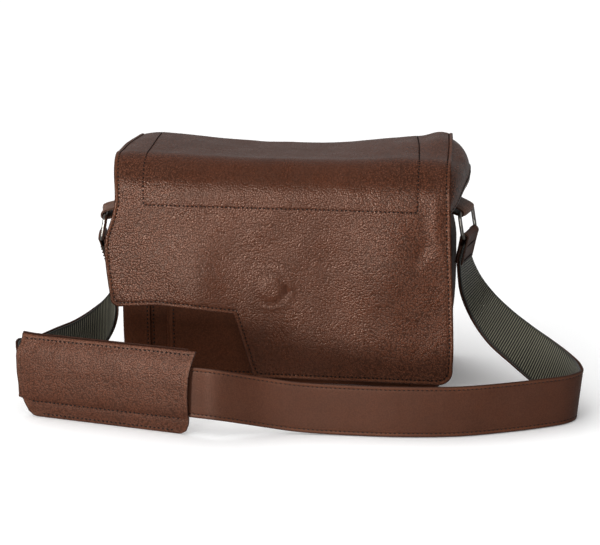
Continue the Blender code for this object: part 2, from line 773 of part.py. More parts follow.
# ---- shoulder pad ----
def make_pad(mats):
    """A sleeve of two covers round the strap, with foam in front; it slides along the strap."""
    turn = Matrix.Translation(PAD_CENTRE) @ Matrix.Rotation(PAD_ANGLE, 4, "Z")
    pivot = empty_at("pad_track", PAD_CENTRE)
    half = PAD_LENGTH / 2
    front = ((0, 0.2), (0.08, 1.6), (0.2, 4.0), (0.25, 6.6), (0.5, 7.0), (0.83, 6.6), (0.93, 3.8), (1, 0.2))
    back = ((0, 0.2), (0.17, 0.2), (0.2, 1.8), (0.25, 2.2), (0.5, 2.4), (0.83, 2.2), (0.93, 1.4), (1, 0.2))
    for name, face, profile in (("pad_front_cover", -1, front), ("pad_back_cover", 1, back)):
        rows = []
        for share, depth in profile:
            row = []
            for i in range(13):
                u = -half + PAD_LENGTH * ease(i / 12)
                foot = corner_rise(half - abs(u))
                z = PAD_HEIGHT * share
                row.append(turn @ Vector((u, face * depth * MM, max(z, foot))))
            rows.append(row)
        sheet(name, rows, LEATHER, mats["leather"], pivot, side=face * -1.0)
    low, high = 0.27 * PAD_HEIGHT, 0.81 * PAD_HEIGHT
    corners = [(-half + 4 * MM, low), (half - 4 * MM, low), (half - 4 * MM, high), (-half + 4 * MM, high)]
    extrude_outline(
        "pad_foam",
        [turn @ Vector((u, -2.7 * MM, z)) for u, z in corners],
        turn.to_3x3() @ Vector((0, -3.5 * MM, 0)),
        mats["foam"],
        pivot,
    )


def ease(t):
    """Spaces samples closer together towards both ends."""
    return 0.5 - 0.5 * math.cos(math.pi * t)


def corner_rise(from_end):
    """Height of the pad's lower edge near its rounded corners."""
    if from_end >= PAD_CORNER:
        return 0.0
    return PAD_CORNER - math.sqrt(PAD_CORNER**2 - (PAD_CORNER - from_end) ** 2)


def main():
    clear_scene()
    brown = (0.115, 0.042, 0.022)
    mats = {
        "leather": material("brown_leather", brown, 0.5),
        "fabric": material("dark_lining", (0.03, 0.03, 0.032), 0.9),
        "webbing": material("grey_webbing", (0.045, 0.048, 0.04), 0.85),
        "foam": material("grey_padding", (0.07, 0.07, 0.075), 0.9),
        "board": material("stiffener_board", (0.12, 0.1, 0.08), 0.8),
        "steel": material("gunmetal_steel", (0.35, 0.33, 0.3), 0.3, 1.0),
    }
    make_shell(mats)
    socket_face = make_front_pocket(mats)
    lift = empty_at("flap_lift_axis", LIFT_AXIS)
    fold = empty_at("flap_fold_axis", FOLD_AXIS, lift)
    make_flap_top(lift, mats)
    make_flap_front(fold, socket_face, mats)
    make_flap_anchor(mats)
    make_rear_pocket(mats)
    for side, word in ((-1, "left"), (1, "right")):
        make_ring_set(side, word, mats)
    make_strap(mats)
    make_pad(mats)


main()
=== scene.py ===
"""The looks of a leather messenger camera bag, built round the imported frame.

Every soft part is a mesh made here: sheets of leather and lining that follow a surface function, padded walls,
ribbons for the strap, and each stitch as a small piece of thread. Lengths are in metres.
"""

import math

import bmesh
import bpy
import numpy as np
from mathutils import Matrix, Vector, noise


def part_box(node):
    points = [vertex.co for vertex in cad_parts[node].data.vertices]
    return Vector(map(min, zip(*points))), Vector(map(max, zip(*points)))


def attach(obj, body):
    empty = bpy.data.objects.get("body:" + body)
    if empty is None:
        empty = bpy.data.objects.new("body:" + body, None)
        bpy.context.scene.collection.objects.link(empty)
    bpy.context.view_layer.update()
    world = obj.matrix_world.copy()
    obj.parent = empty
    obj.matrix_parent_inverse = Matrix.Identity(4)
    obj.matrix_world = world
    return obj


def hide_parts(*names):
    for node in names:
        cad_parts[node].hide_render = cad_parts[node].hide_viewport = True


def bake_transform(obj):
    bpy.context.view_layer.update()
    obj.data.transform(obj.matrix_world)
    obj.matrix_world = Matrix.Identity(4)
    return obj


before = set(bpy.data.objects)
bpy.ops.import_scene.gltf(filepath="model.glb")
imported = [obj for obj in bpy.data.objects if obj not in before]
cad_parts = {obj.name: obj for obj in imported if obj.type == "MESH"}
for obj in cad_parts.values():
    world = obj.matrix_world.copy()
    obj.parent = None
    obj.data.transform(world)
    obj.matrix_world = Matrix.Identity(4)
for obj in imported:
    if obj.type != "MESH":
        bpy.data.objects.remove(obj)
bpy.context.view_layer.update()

MM = 0.001
BAG, TOP, FRONT, PAD = "bag_body", "flap_top", "flap_front", "shoulder_pad"
LEATHER, LINING, METAL, PADDED = "brown_leather", "dark_lining", "gunmetal_steel", "grey_padding"
SIDES = ((-1, "left"), (1, "right"))


def put(piece, node=None, body=BAG):
    """Puts a piece on its body and hides the CAD node that it stands for, if there is one."""
    if node:
        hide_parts(node)
    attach(piece, body)
    return piece


# ---------------------------------------------------------------- meshes
def mesh_object(name, points, faces, finish):
    """A smooth mesh with one material, linked into the scene."""
    mesh = bpy.data.meshes.new(name)
    mesh.from_pydata([tuple(map(float, p)) for p in points], [], faces)
    mesh.materials.append(finish)
    mesh.shade_smooth()
    obj = bpy.data.objects.new(name, mesh)
    bpy.context.scene.collection.objects.link(obj)
    return obj


def settle(obj):
    """Turns an object's modifiers into its mesh."""
    graph = bpy.context.evaluated_depsgraph_get()
    mesh = bpy.data.meshes.new_from_object(obj.evaluated_get(graph))
    obj.modifiers.clear()
    obj.data = mesh
    return obj


def grid_faces(rows, columns, around=False, across=False):
    """Quads of a grid whose points are stored row by row; around closes each row, across closes the rows."""
    faces = []
    for i in range(rows if across else rows - 1):
        for j in range(columns if around else columns - 1):
            k = (j + 1) % columns
            n = (i + 1) % rows
            faces.append((i * columns + j, i * columns + k, n * columns + k, n * columns + j))
    return faces


def add_value(obj, name, values):
    """Stores one number per vertex for the materials to read."""
    layer = obj.data.attributes.new(name, "FLOAT", "POINT")
    layer.data.foreach_set("value", np.asarray(values, np.float32).ravel())


def set_far_from_rim(obj):
    """Marks a whole piece as away from any cut edge, so that its leather shows no edge wear and no painted groove
    shade there.
    """
    add_value(obj, "edge", np.full(len(obj.data.vertices), 9.0))


def turn_outwards(obj):
    """Makes a closed mesh's faces all look outwards."""
    bm = bmesh.new()
    bm.from_mesh(obj.data)
    bmesh.ops.recalc_face_normals(bm, faces=bm.faces)
    bm.to_mesh(obj.data)
    bm.free()


def thicken(obj, thickness, rounding=0.42, offset=-1.0):
    """Makes a sheet solid behind its faces and rounds the rim by a share of the thickness."""
    solid = obj.modifiers.new("Thickness", "SOLIDIFY")
    solid.thickness = thickness
    solid.offset = offset
    if rounding:
        bevel = obj.modifiers.new("Rim", "BEVEL")
        bevel.width = thickness * rounding
        bevel.segments = 2
        bevel.limit_method = "ANGLE"
        bevel.angle_limit = math.radians(55)
    settle(obj)
    obj.data.shade_smooth()
    return obj


def rim_distance(grid):
    """Distance of each grid point from the nearest edge, measured along the rows and columns."""
    down = np.linalg.norm(np.diff(grid, axis=0), axis=2)
    side = np.linalg.norm(np.diff(grid, axis=1), axis=2)
    rows = np.vstack([np.zeros((1, grid.shape[1])), np.cumsum(down, axis=0)])
    columns = np.hstack([np.zeros((grid.shape[0], 1)), np.cumsum(side, axis=1)])
    return np.minimum.reduce([rows, rows[-1:] - rows, columns, columns[:, -1:] - columns])


def sheet(name, grid, thickness, finish, flip=False, rim=None, rounding=0.42):
    """A solid sheet from a grid of points on its outer face; rim gives the materials their edge distance."""
    faces = grid_faces(*grid.shape[:2])
    if flip:
        faces = [f[::-1] for f in faces]
    obj = mesh_object(name, grid.reshape(-1, 3), faces, finish)
    distance = rim_distance(grid) if rim is None else rim
    add_value(obj, "edge", distance / MM)
    return thicken(obj, thickness, rounding)


def unit(vectors):
    """The vectors, one to a row, made one metre long."""
    return vectors / np.maximum(np.linalg.norm(vectors, axis=-1, keepdims=True), 1e-12)


def grid_normals(grid, flip=False):
    """Unit normals of a grid of points."""
    down = np.gradient(grid, axis=0)
    side = np.gradient(grid, axis=1)
    return unit(np.cross(side, down) * (-1 if flip else 1))


def bell(value, middle, spread):
    """A bump of height 1 at the middle."""
    return np.exp(-(((value - middle) / spread) ** 2))


def smooth(value, low, high):
    """A soft step from 0 at low to 1 at high."""
    t = np.clip((value - low) / (high - low), 0, 1)
    return t * t * (3 - 2 * t)


def rough(points, size, seed):
    """Smooth noise between -1 and 1 at each point, with features of about that size."""
    flat = np.asarray(points).reshape(-1, 3) / size + seed
    values = [noise.noise(Vector(p)) for p in flat]
    return np.array(values).reshape(np.asarray(points).shape[:-1])


def levels(low, high, step, fine=()):
    """Sorted positions from low to high every step, with an extra one at each fine mark."""
    marks = list(np.linspace(low, high, max(2, int(round((high - low) / step)) + 1)))
    extra = [mark for mark in fine if low <= mark <= high]
    kept = []
    for value in sorted(marks + extra):
        near = [m for m in extra if abs(m - value) < 0.45 * MM]
        if value in (low, high) or value in extra or not near:
            if not kept or value - kept[-1] > 0.12 * MM:
                kept.append(value)
    kept[-1] = high
    return np.array(kept)


def edged(low, high, step, fine, both=True):
    """Levels with extra ones at each fine distance inside the lower end, and inside the upper one too if both."""
    marks = [low + d for d in fine] + ([high - d for d in fine] if both else [])
    return levels(low, high, step, marks)


# ---------------------------------------------------------------- stitches
STITCH_PITCH = 4.3 * MM
STITCH_LENGTH = 2.5 * MM
STITCH_RADIUS = 0.74 * MM
STITCH_SLANT = 0.12
STITCH_SIDES = 6
# Along one stitch: share of its length, share of its radius, and rise in radii off the leather.
STITCH_FORM = ((-0.5, 0.25, -0.9), (-0.4, 0.8, -0.2), (0.0, 1.0, 0.35), (0.4, 0.8, -0.2), (0.5, 0.25, -0.9))


def resample(at, run, values):
    """Values known along a line, read off at other places along it."""
    return np.column_stack([np.interp(at, run, values[:, k]) for k in range(3)])


def run_along(points):
    """The distance along a line at each of its points."""
    return np.concatenate([[0], np.cumsum(np.linalg.norm(np.diff(points, axis=0), axis=1))])


def walk(points, normals, pitch):
    """Evenly spaced places along a line: positions, directions and normals."""
    run = run_along(points)
    count = max(2, int(run[-1] / pitch))
    at = (np.arange(count) + 0.5) * run[-1] / count
    along = unit(resample(at + 0.4 * MM, run, points) - resample(at - 0.4 * MM, run, points))
    normal = resample(at, run, normals)
    normal = unit(normal - along * (normal * along).sum(axis=1, keepdims=True))
    return resample(at, run, points), along, normal


def stitches(name, lines, pitch=STITCH_PITCH, radius=STITCH_RADIUS):
    """Rows of saddle stitches: each one a plump piece of thread that dives into the leather at both ends."""
    sides = STITCH_SIDES
    points, faces = [], []
    for line, normals in lines:
        for place, along, normal in zip(*walk(np.asarray(line), np.asarray(normals), pitch)):
            side = np.cross(along, normal)
            turned = unit(along + side * STITCH_SLANT)
            first = len(points)
            for share, width, rise in STITCH_FORM:
                centre = place + turned * share * pitch * STITCH_LENGTH / STITCH_PITCH + normal * rise * radius
                for k in range(sides):
                    a = 2 * math.pi * k / sides
                    points.append(centre + (side * math.cos(a) + normal * math.sin(a)) * radius * width)
            for f in grid_faces(len(STITCH_FORM), sides, around=True):
                faces.append(tuple(first + v for v in f))
            faces.append(tuple(first + k for k in range(sides))[::-1])
            last = first + (len(STITCH_FORM) - 1) * sides
            faces.append(tuple(last + k for k in range(sides)))
    return mesh_object(name, points, faces, thread)


def sew(name, lines, body=BAG, **style):
    """Rows of stitches that ride on one body."""
    return put(stitches(name, lines, **style), body=body)


def refine(line, step):
    """The same broken line with points no further apart than step."""
    made = [line[0]]
    for a, b in zip(line, line[1:]):
        count = max(1, int(np.linalg.norm(b - a) / step))
        made += [a + (b - a) * (k + 1) / count for k in range(count)]
    return np.array(made)


def facing(direction, count):
    """The same normal for each of count places."""
    return np.tile(direction, (count, 1))


def row_at_depth(line, y):
    """A row for stitches from (x, z) points, on a wall that looks backwards at one depth."""
    return np.column_stack([line[:, 0], np.full(len(line), y), line[:, 1]]), facing([0.0, 1.0, 0.0], len(line))


# ---------------------------------------------------------------- materials
class Nodes:
    """Short hand for building a node tree."""

    def __init__(self, name):
        self.material = bpy.data.materials.new(name)
        self.material.use_nodes = True
        self.tree = self.material.node_tree
        self.shader = self.tree.nodes["Principled BSDF"]
        self.place = self.add("ShaderNodeTexCoord").outputs["Object"]

    def add(self, kind, **settings):
        node = self.tree.nodes.new(kind)
        for key, value in settings.items():
            setattr(node, key, value)
        return node

    def join(self, source, target):
        self.tree.links.new(source, target)

    def feed(self, node, name, value):
        """Sets an input, or links it if the value is an output."""
        if isinstance(value, bpy.types.NodeSocket):
            self.join(value, node.inputs[name])
        else:
            node.inputs[name].default_value = value

    def feed_all(self, node, *pairs):
        for name, value in pairs:
            self.feed(node, name, value)
        return node

    def noise(self, scale, detail=3.0, roughness=0.55, distortion=0.0):
        node = self.feed_all(
            self.add("ShaderNodeTexNoise"), ("Vector", self.place), ("Scale", scale), ("Detail", detail),
            ("Roughness", roughness), ("Distortion", distortion),
        )
        return node.outputs["Fac"]

    def math(self, operation, a, b=0.0, clamp=False):
        node = self.add("ShaderNodeMath", operation=operation, use_clamp=clamp)
        return self.feed_all(node, (0, a), (1, b)).outputs[0]

    def times(self, a, b):
        return self.math("MULTIPLY", a, b)

    def total(self, *values):
        result = values[0]
        for value in values[1:]:
            result = self.math("ADD", result, value)
        return result

    def span(self, value, low, high, to_low=0.0, to_high=1.0):
        node = self.add("ShaderNodeMapRange")
        return self.feed_all(node, *enumerate((value, low, high, to_low, to_high))).outputs[0]

    def blend(self, share, a, b):
        return self.feed_all(self.add("ShaderNodeMix", data_type="RGBA"), (0, share), (6, a), (7, b)).outputs[2]

    def edge(self):
        """The piece's edge value: its distance from its rim in millimetres, or on the webbing the height of its ribs.
        """
        return self.add("ShaderNodeAttribute", attribute_name="edge").outputs["Fac"]

    def axes(self):
        split = self.add("ShaderNodeSeparateXYZ")
        self.join(self.place, split.inputs[0])
        return split.outputs

    def bump(self, height, strength, distance):
        node = self.feed_all(
            self.add("ShaderNodeBump"), ("Height", height), ("Strength", strength), ("Distance", distance)
        )
        return node.outputs["Normal"]

    def set(self, **values):
        names = {
            "colour": "Base Color", "roughness": "Roughness", "normal": "Normal", "metallic": "Metallic",
            "gloss": "Specular IOR Level", "tint": "Specular Tint", "sheen": "Sheen Weight",
        }
        for key, value in values.items():
            self.feed(self.shader, names[key], value)
        return self.material


def shade(colour, factor):
    """The colour made darker or lighter, with an alpha of 1."""
    return (*(c * factor for c in colour), 1.0)


WARM_SHINE = (1.0, 0.68, 0.54)
# The burnt edge colour is the dark dye of the cut rim and also the painted shade in the stitch groove.
BURNT_EDGE_AND_GROOVE_SHADE, RUBBED_EDGE = (0.022, 0.0075, 0.0045), (0.15, 0.052, 0.024)
PAINTED_GRAIN_LIGHT_INNER = 60 * MM  # the painted shade and highlight on the flap's grain are weakest up to here from the middle
PAINTED_GRAIN_LIGHT_OUTER = 125 * MM  # and strongest from here outwards
PAINTED_SHADE_LOW, PAINTED_SHADE_HIGH = 196 * MM, 212 * MM  # painted shade: the pebbled leather darkens from the first height to the second and stays so above it
PAINTED_SHADE_SHARE = 0.25  # by this share of painted shade


def leather(name, colour, roughness, grain=1.0, bump=0.3, gloss=0.5, flap_painted_light=False):
    """Full-grain leather: pebbles with creases between them, cloudy colour and burnished edges, with painted shade
    and highlight on the grain, painted shade in the stitch groove and, on the flap, painted shade over the bend.
    """
    n = Nodes(name)
    warp = n.feed_all(n.add("ShaderNodeTexNoise"), ("Vector", n.place), ("Scale", 260 / grain), ("Detail", 2.0))
    shift = n.add("ShaderNodeVectorMath", operation="SCALE")
    n.feed_all(shift, (0, warp.outputs["Color"]), ("Scale", 0.0013 * grain))
    moved = n.feed_all(n.add("ShaderNodeVectorMath", operation="ADD"), (0, n.place), (1, shift.outputs[0]))
    cells = n.add("ShaderNodeTexVoronoi", feature="F1")
    n.feed_all(cells, ("Vector", moved.outputs[0]), ("Scale", 540 / grain), ("Randomness", 0.85))
    away = n.times(cells.outputs["Distance"], 1.25)
    pebble = n.math("SUBTRACT", 1.0, n.times(away, away), clamp=True)
    soft = n.noise(300 / grain, 2.0, 0.5, 0.6)
    fine = n.noise(1300 / grain, 2.0, 0.5)
    creases = n.noise(75 / grain, 3.0, 0.6, 1.0)
    clouds = n.noise(11, 3.0, 0.6)
    patches = n.noise(42, 4.0, 0.65)
    height = n.total(n.times(pebble, 0.95), n.times(soft, 0.16), n.times(fine, 0.06), n.times(creases, 0.2))
    tone = n.blend(n.span(clouds, 0.3, 0.7), shade(colour, 0.84), shade(colour, 1.16))
    warm = (colour[0] * 1.15, colour[1], colour[2] * 0.85, 1.0)
    tone = n.blend(n.span(patches, 0.42, 0.72, 0.0, 0.5), tone, warm)
    # Painted shade darkens the hollows between the pebbles. The crowns are lightened partly as rubbed leather and
    # mostly as a painted highlight.
    contrast = min(1.0, bump / 0.3)
    painted_hollow_shade = n.span(pebble, 0.3, 0.85, 0.75 * contrast, 0.0)
    crown = n.span(pebble, 0.8, 1.0, 0.0, 0.15 * contrast)
    if flap_painted_light:
        axes = n.axes()
        # Painted shade: the pebbled leather darkens with height over the flap's bend and top, the ears and the hinge
        # strip.
        tone = n.blend(n.span(axes[2], PAINTED_SHADE_LOW, PAINTED_SHADE_HIGH, 0.0, PAINTED_SHADE_SHARE), tone, shade(colour, 0.25))
        # Painted light: the grain's painted shade and highlight grow stronger from the middle of the flap towards its
        # sides.
        from_middle = n.times(axes[0], axes[0])
        painted_hollow_shade = n.times(painted_hollow_shade, n.span(from_middle, PAINTED_GRAIN_LIGHT_INNER**2, PAINTED_GRAIN_LIGHT_OUTER**2, 0.6, 0.95))
        crown = n.times(crown, n.span(from_middle, PAINTED_GRAIN_LIGHT_INNER**2, PAINTED_GRAIN_LIGHT_OUTER**2, 0.5, 3.0))
    # Painted highlight on the crowns of the pebbles, then painted shade in their hollows.
    tone = n.blend(crown, tone, shade(colour, 2.6))
    tone = n.blend(painted_hollow_shade, tone, shade(colour, 0.3))
    from_rim = n.edge()
    rubbed = n.times(n.span(from_rim, 0.9, 1.8), n.span(from_rim, 2.2, 6.5, 1.0, 0.0))
    rubbed = n.times(rubbed, n.span(clouds, 0.38, 0.68, 0.05, 0.45))
    # Painted shade in the groove of the stitches, a few millimetres inside the rim.
    groove = n.times(n.span(from_rim, 3.2, 4.1), n.span(from_rim, 4.3, 5.4, 1.0, 0.0))
    tone = n.blend(rubbed, tone, shade(RUBBED_EDGE, 1.0))
    tone = n.blend(n.times(groove, 0.3), tone, shade(BURNT_EDGE_AND_GROOVE_SHADE, 1.0))
    tone = n.blend(n.span(from_rim, 0.2, 1.1, 0.8, 0.0), tone, shade(BURNT_EDGE_AND_GROOVE_SHADE, 1.0))
    polish = n.span(n.total(soft, patches), 0.75, 1.25, roughness + 0.08, roughness - 0.06)
    n.set(colour=tone, roughness=polish, normal=n.bump(height, bump, 0.0011 * grain))
    return n.set(gloss=gloss, tint=shade(WARM_SHINE, 1.0))


def thread_finish(name, colour):
    n = Nodes(name)
    twist = n.noise(2400, 2.0)
    tone = n.blend(twist, shade(colour, 0.7), shade(colour, 1.35))
    return n.set(colour=tone, roughness=0.62, normal=n.bump(twist, 0.5, 0.0002))


def cloth_set(n, height, tone, roughness, bump, sheen):
    return n.set(colour=tone, roughness=roughness, normal=n.bump(height, *bump), sheen=sheen)


def cloudy(n, tone, scale, other):
    """The tone, drifting towards another one in soft clouds."""
    return n.blend(n.span(n.noise(scale, 3.0, 0.6), 0.35, 0.7, 0.0, 0.4), tone, other)


def plain_weave(name, colour, pitch):
    """Two crossed sets of yarns, in the piece's own plane whichever way it faces."""
    n = Nodes(name)
    axes = n.axes()
    waves = [n.math("SINE", n.times(axes[k], 2 * math.pi / pitch)) for k in range(3)]
    cross = n.total(n.times(waves[0], waves[2]), n.times(waves[1], waves[2]), n.times(waves[0], waves[1]))
    height = n.total(n.times(cross, 0.5), n.noise(900, 3.0, 0.6))
    tone = n.blend(n.span(height, 0.0, 1.2), shade(colour, 0.6), shade(colour, 1.3))
    return cloth_set(n, height, cloudy(n, tone, 25, shade(colour, 0.8)), 0.85, (0.7, 0.0003), 0.15)


def ribbed_webbing(name, colour, valley_painted_shade, crown_painted_highlight):
    """Webbing whose ribs are shaped in its mesh, with painted shade in the valleys and a painted highlight on the
    crowns.
    """
    n = Nodes(name)
    fuzz = n.noise(900, 3.0, 0.6)
    tone = n.blend(n.span(fuzz, 0.0, 1.2), shade(colour, 0.6), shade(colour, 1.3))
    tone = cloudy(n, tone, 25, shade(colour, 0.8))
    rise = n.edge()
    # Painted highlight on the ribs' crowns, then painted shade in their valleys, read from the rib height.
    tone = n.blend(n.span(rise, 0.1, 0.27), tone, shade(colour, crown_painted_highlight))
    tone = n.blend(n.span(rise, -0.2, 0.12, 1.0, 0.0), tone, shade(colour, valley_painted_shade))
    return cloth_set(n, fuzz, tone, 0.8, (0.5, 0.0003), 0.2)


def loop_fabric(name, colour):
    """Brushed loop fabric over foam."""
    n = Nodes(name)
    fuzz = n.noise(1300, 4.0, 0.7)
    nap = n.noise(160, 3.0, 0.6, 0.8)
    tone = n.blend(n.span(fuzz, 0.3, 0.7), shade(colour, 0.6), shade(colour, 1.35))
    height = n.total(fuzz, n.times(nap, 1.5))
    return cloth_set(n, height, cloudy(n, tone, 14, shade(colour, 1.2)), 0.95, (0.8, 0.0005), 0.3)


def metal(name, colour, roughness):
    n = Nodes(name)
    scuffs = n.noise(260, 5.0, 0.7, 1.0)
    grime = n.noise(45, 4.0, 0.6)
    tone = n.blend(n.span(grime, 0.4, 0.7, 0.0, 0.6), shade(colour, 1.0), shade(colour, 0.6))
    n.set(colour=tone, roughness=n.span(scuffs, 0.3, 0.75, roughness, roughness + 0.2))
    return n.set(metallic=1.0, normal=n.bump(scuffs, 0.15, 0.0001))


def board_finish(name, colour):
    n = Nodes(name)
    fibre = n.noise(500, 4.0, 0.7, 1.5)
    tone = n.blend(fibre, shade(colour, 0.7), shade(colour, 1.2))
    return n.set(colour=tone, roughness=0.85, normal=n.bump(fibre, 0.3, 0.0002))


pebbled = leather("pebbled_leather", (0.081, 0.0272, 0.0143), 0.3, flap_painted_light=True)
panel_leather = leather("panel_leather", (0.064, 0.0193, 0.0084), 0.52, bump=0.15, gloss=0.15)
strap_leather = leather("strap_leather", (0.07, 0.0235, 0.0125), 0.5, grain=0.8, bump=0.1)
tab_leather = leather("tab_leather", (0.15, 0.077, 0.052), 0.44, grain=0.9)
pad_leather = leather("pad_leather", (0.084, 0.0282, 0.0151), 0.44, grain=0.9, bump=0.28)
thread = thread_finish("brown_thread", (0.006, 0.0022, 0.0014))
lining = plain_weave("dark_lining", (0.02, 0.02, 0.022), 1.3 * MM)
# The last two numbers are the painted shade of the rib valleys and the painted highlight of the rib crowns.
webbing = ribbed_webbing("webbing_yarn", (0.02, 0.0188, 0.0125), 0.06, 10.0)
zip_tape = plain_weave("zip_tape", (0.012, 0.011, 0.011), 0.8 * MM)
padding = loop_fabric("grey_padding", (0.05, 0.05, 0.053))
binding = plain_weave("binding_tape", (0.018, 0.018, 0.019), 1.0 * MM)
nickel = metal("dark_nickel", (0.62, 0.58, 0.53), 0.24)
board = board_finish("fibre_board", (0.12, 0.1, 0.08))


# ---------------------------------------------------------------- flap
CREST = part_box("flap_top_leather")[1][2]
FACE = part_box("flap_front_leather")[0][1]
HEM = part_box("flap_front_leather")[0][2]
FLAP_REAR = 67 * MM
BEND = 40 * MM
FLAP_LEATHER = 2.4 * MM
TOP_RUN = FLAP_REAR - (FACE + BEND)
BEND_RUN = BEND * math.pi / 2
BEND_END = TOP_RUN + BEND_RUN
STRAIGHT_TOP = CREST - BEND


def run_at(z):
    """How far along the flap, from its rear edge, the front's height z lies."""
    return BEND_END + STRAIGHT_TOP - z


HEM_RUN = run_at(HEM)
CUT_RUN = run_at(81.5 * MM)
FOLD_RUN = run_at(186 * MM)
BOARD_RUN = run_at(189.5 * MM)
CUT_X = -45 * MM
CUT_SLOPE = 20 / 70
LEFT_CORNER, FOOT_CORNER, RIGHT_CORNER = 9 * MM, 5 * MM, 14 * MM
STITCH_INSET = 4.2 * MM


# The flap's side edges as (run, x) in millimetres, by side.
SIDE_EDGES = {
    1: ((0, 169), (60, 172), (106, 173), (140, 173.5), (196, 175), (268, 179), (321, 181), (360, 180)),
    -1: (
        (0, -174), (60, -176), (106, -173.5), (140, -169.5), (168, -166.5), (185, -168.5),
        (203, -175), (217, -180), (240, -179.5), (262, -177), (282, -174.5), (360, -174),
    ),
}


def side_edge(run, side):
    """The flap's straight side edge: narrower at the rear, widest low down on the right."""
    table = np.array(SIDE_EDGES[side]) * MM
    offsets = np.linspace(-9, 9, 7) * MM
    return np.mean([np.interp(run + d, table[:, 0], table[:, 1]) for d in offsets], axis=0)


def corner_draw(run, end, radius):
    """How far a rounded corner that ends at a run draws the side edge in."""
    into = np.clip(run - (end - radius), 0, radius)
    return radius - np.sqrt(np.maximum(radius**2 - into**2, 0))


def left_edge(run, margin=0.0):
    """X of the flap's left edge, which ends in a rounded corner at the cut."""
    return side_edge(run, -1) + margin + corner_draw(run, CUT_RUN - margin, LEFT_CORNER - margin / 2)


def right_edge(run, margin=0.0):
    """X of the flap's right edge, which ends in a rounded corner at the hem."""
    return side_edge(run, 1) - margin - corner_draw(run, HEM_RUN - margin, RIGHT_CORNER - margin / 2)


def slant_edge(run, margin):
    """The slanted edge of the step, below the cut."""
    straight = CUT_X + (run - CUT_RUN) * CUT_SLOPE + margin * math.hypot(1, CUT_SLOPE)
    return straight + corner_draw(run, HEM_RUN - margin, FOOT_CORNER)


def corner_runs(end, radius):
    """Runs that follow a rounded corner evenly."""
    return [end - radius + radius * math.sin(math.radians(a)) for a in range(0, 91, 9)]


def flap_outline(margin=0.0):
    """The flap's edge in its flat pattern, from the rear left corner round to the rear right one."""
    cut, hem = CUT_RUN - margin, HEM_RUN - margin
    down = levels(0, cut, 5 * MM, corner_runs(cut, LEFT_CORNER - margin / 2))
    line = [(left_edge(r, margin), r) for r in down]
    line += [(x, cut) for x in np.linspace(line[-1][0], slant_edge(cut, margin), 24)[1:]]
    down = levels(cut, hem, 5 * MM, corner_runs(hem, FOOT_CORNER))
    line += [(slant_edge(r, margin), r) for r in down[1:]]
    up = levels(0, hem, 5 * MM, corner_runs(hem, RIGHT_CORNER - margin / 2))[::-1]
    line += [(x, hem) for x in np.linspace(line[-1][0], right_edge(hem, margin), 40)[1:]]
    line += [(right_edge(r, margin), r) for r in up[1:]]
    return np.array(line, float)


def distance_to_line(x, run, line):
    """Distance in the flat pattern from points to a broken line."""
    flat = np.column_stack([np.ravel(x), np.ravel(run)])
    best = np.full(len(flat), 1.0)
    for a, b in zip(line, line[1:]):
        step = b - a
        t = np.clip(((flat - a) @ step) / max(step @ step, 1e-12), 0, 1)
        best = np.minimum(best, np.linalg.norm(flat - (a + t[:, None] * step), axis=1))
    return best.reshape(np.shape(x))


OUTLINE = flap_outline()
BOARD_LINES = {-1: (-150, -144, -139, -137), 1: (131, 137, 141, 142)}


def board_edge(run, side):
    """X of the stiffener's stitched side lines, which lean a little to the left as they go back."""
    return np.interp(run, np.array([0, 60, 120, 180]) * MM, np.array(BOARD_LINES[side]) * MM)


# Each soft bulge or hollow in the flap's front: its height, then the middle and spread in x and in z.
BULGES = (
    (7.5, -88, 48, 98, 58), (4.5, 112, 36, 132, 48), (1.6, 40, 50, 38, 24),
    (-1.6, 62, 34, 118, 50), (-1.4, -50, 24, 120, 60), (2.0, 160, 6.5, 180, 26),
)


def flap_height(x, run):
    """How far the flap's leather stands off its plain profile, along the normal."""
    y = FLAP_REAR - run
    z = STRAIGHT_TOP + BEND_END - run
    on_top = 1 - smooth(run, TOP_RUN - 12 * MM, TOP_RUN + 34 * MM)
    on_front = smooth(run, TOP_RUN + 30 * MM, BEND_END + 12 * MM)
    rise = smooth(np.abs(x + 2 * MM), 25 * MM, 165 * MM)
    shoulder = smooth(np.abs(x + 2 * MM), 150 * MM, 174 * MM)
    rear = smooth(y, -45 * MM, 35 * MM)
    rise_rear = 6.5 * rear * np.where(x > 0, 1.0, 0.45)
    lift = 4.2 * rear * smooth(x, 136 * MM, 160 * MM)
    top = (-6.5 + rise * (5.0 + rise_rear) - (2.0 + 0.5 * rear) * shoulder + lift) * on_top
    bend = (1 - on_top) * (1 - on_front) * (-1.2 + 1.5 * rise)
    bulge = sum(h * bell(x, a * MM, b * MM) * bell(z, c * MM, d * MM) for h, a, b, c, d in BULGES)
    fold = 1.8 * bell(x - 0.5 * (z - 150 * MM), 148 * MM, 7 * MM) * bell(z, 148 * MM, 12 * MM)
    return (top + bend + (bulge - fold) * on_front) * MM


def wrinkles(x, run):
    """Soft creases: loose folds near the right edge and under the corners of the stiffener."""
    z = STRAIGHT_TOP + BEND_END - run
    flat = np.stack([x, run, np.zeros_like(x)], axis=-1)
    broad = rough(flat, 34 * MM, 3.1) * 0.55 + rough(flat, 15 * MM, 7.7) * 0.22
    leaning = np.stack([(x + run) * 0.25, (x - run), np.zeros_like(x)], axis=-1)
    folds = rough(leaning, 11 * MM, 1.3)
    right = bell(x, 150 * MM, 32 * MM) * bell(z, 168 * MM, 34 * MM)
    left = bell(x, -152 * MM, 20 * MM) * bell(z, 196 * MM, 26 * MM)
    return (broad + folds * (1.15 * right + 0.8 * left)) * MM


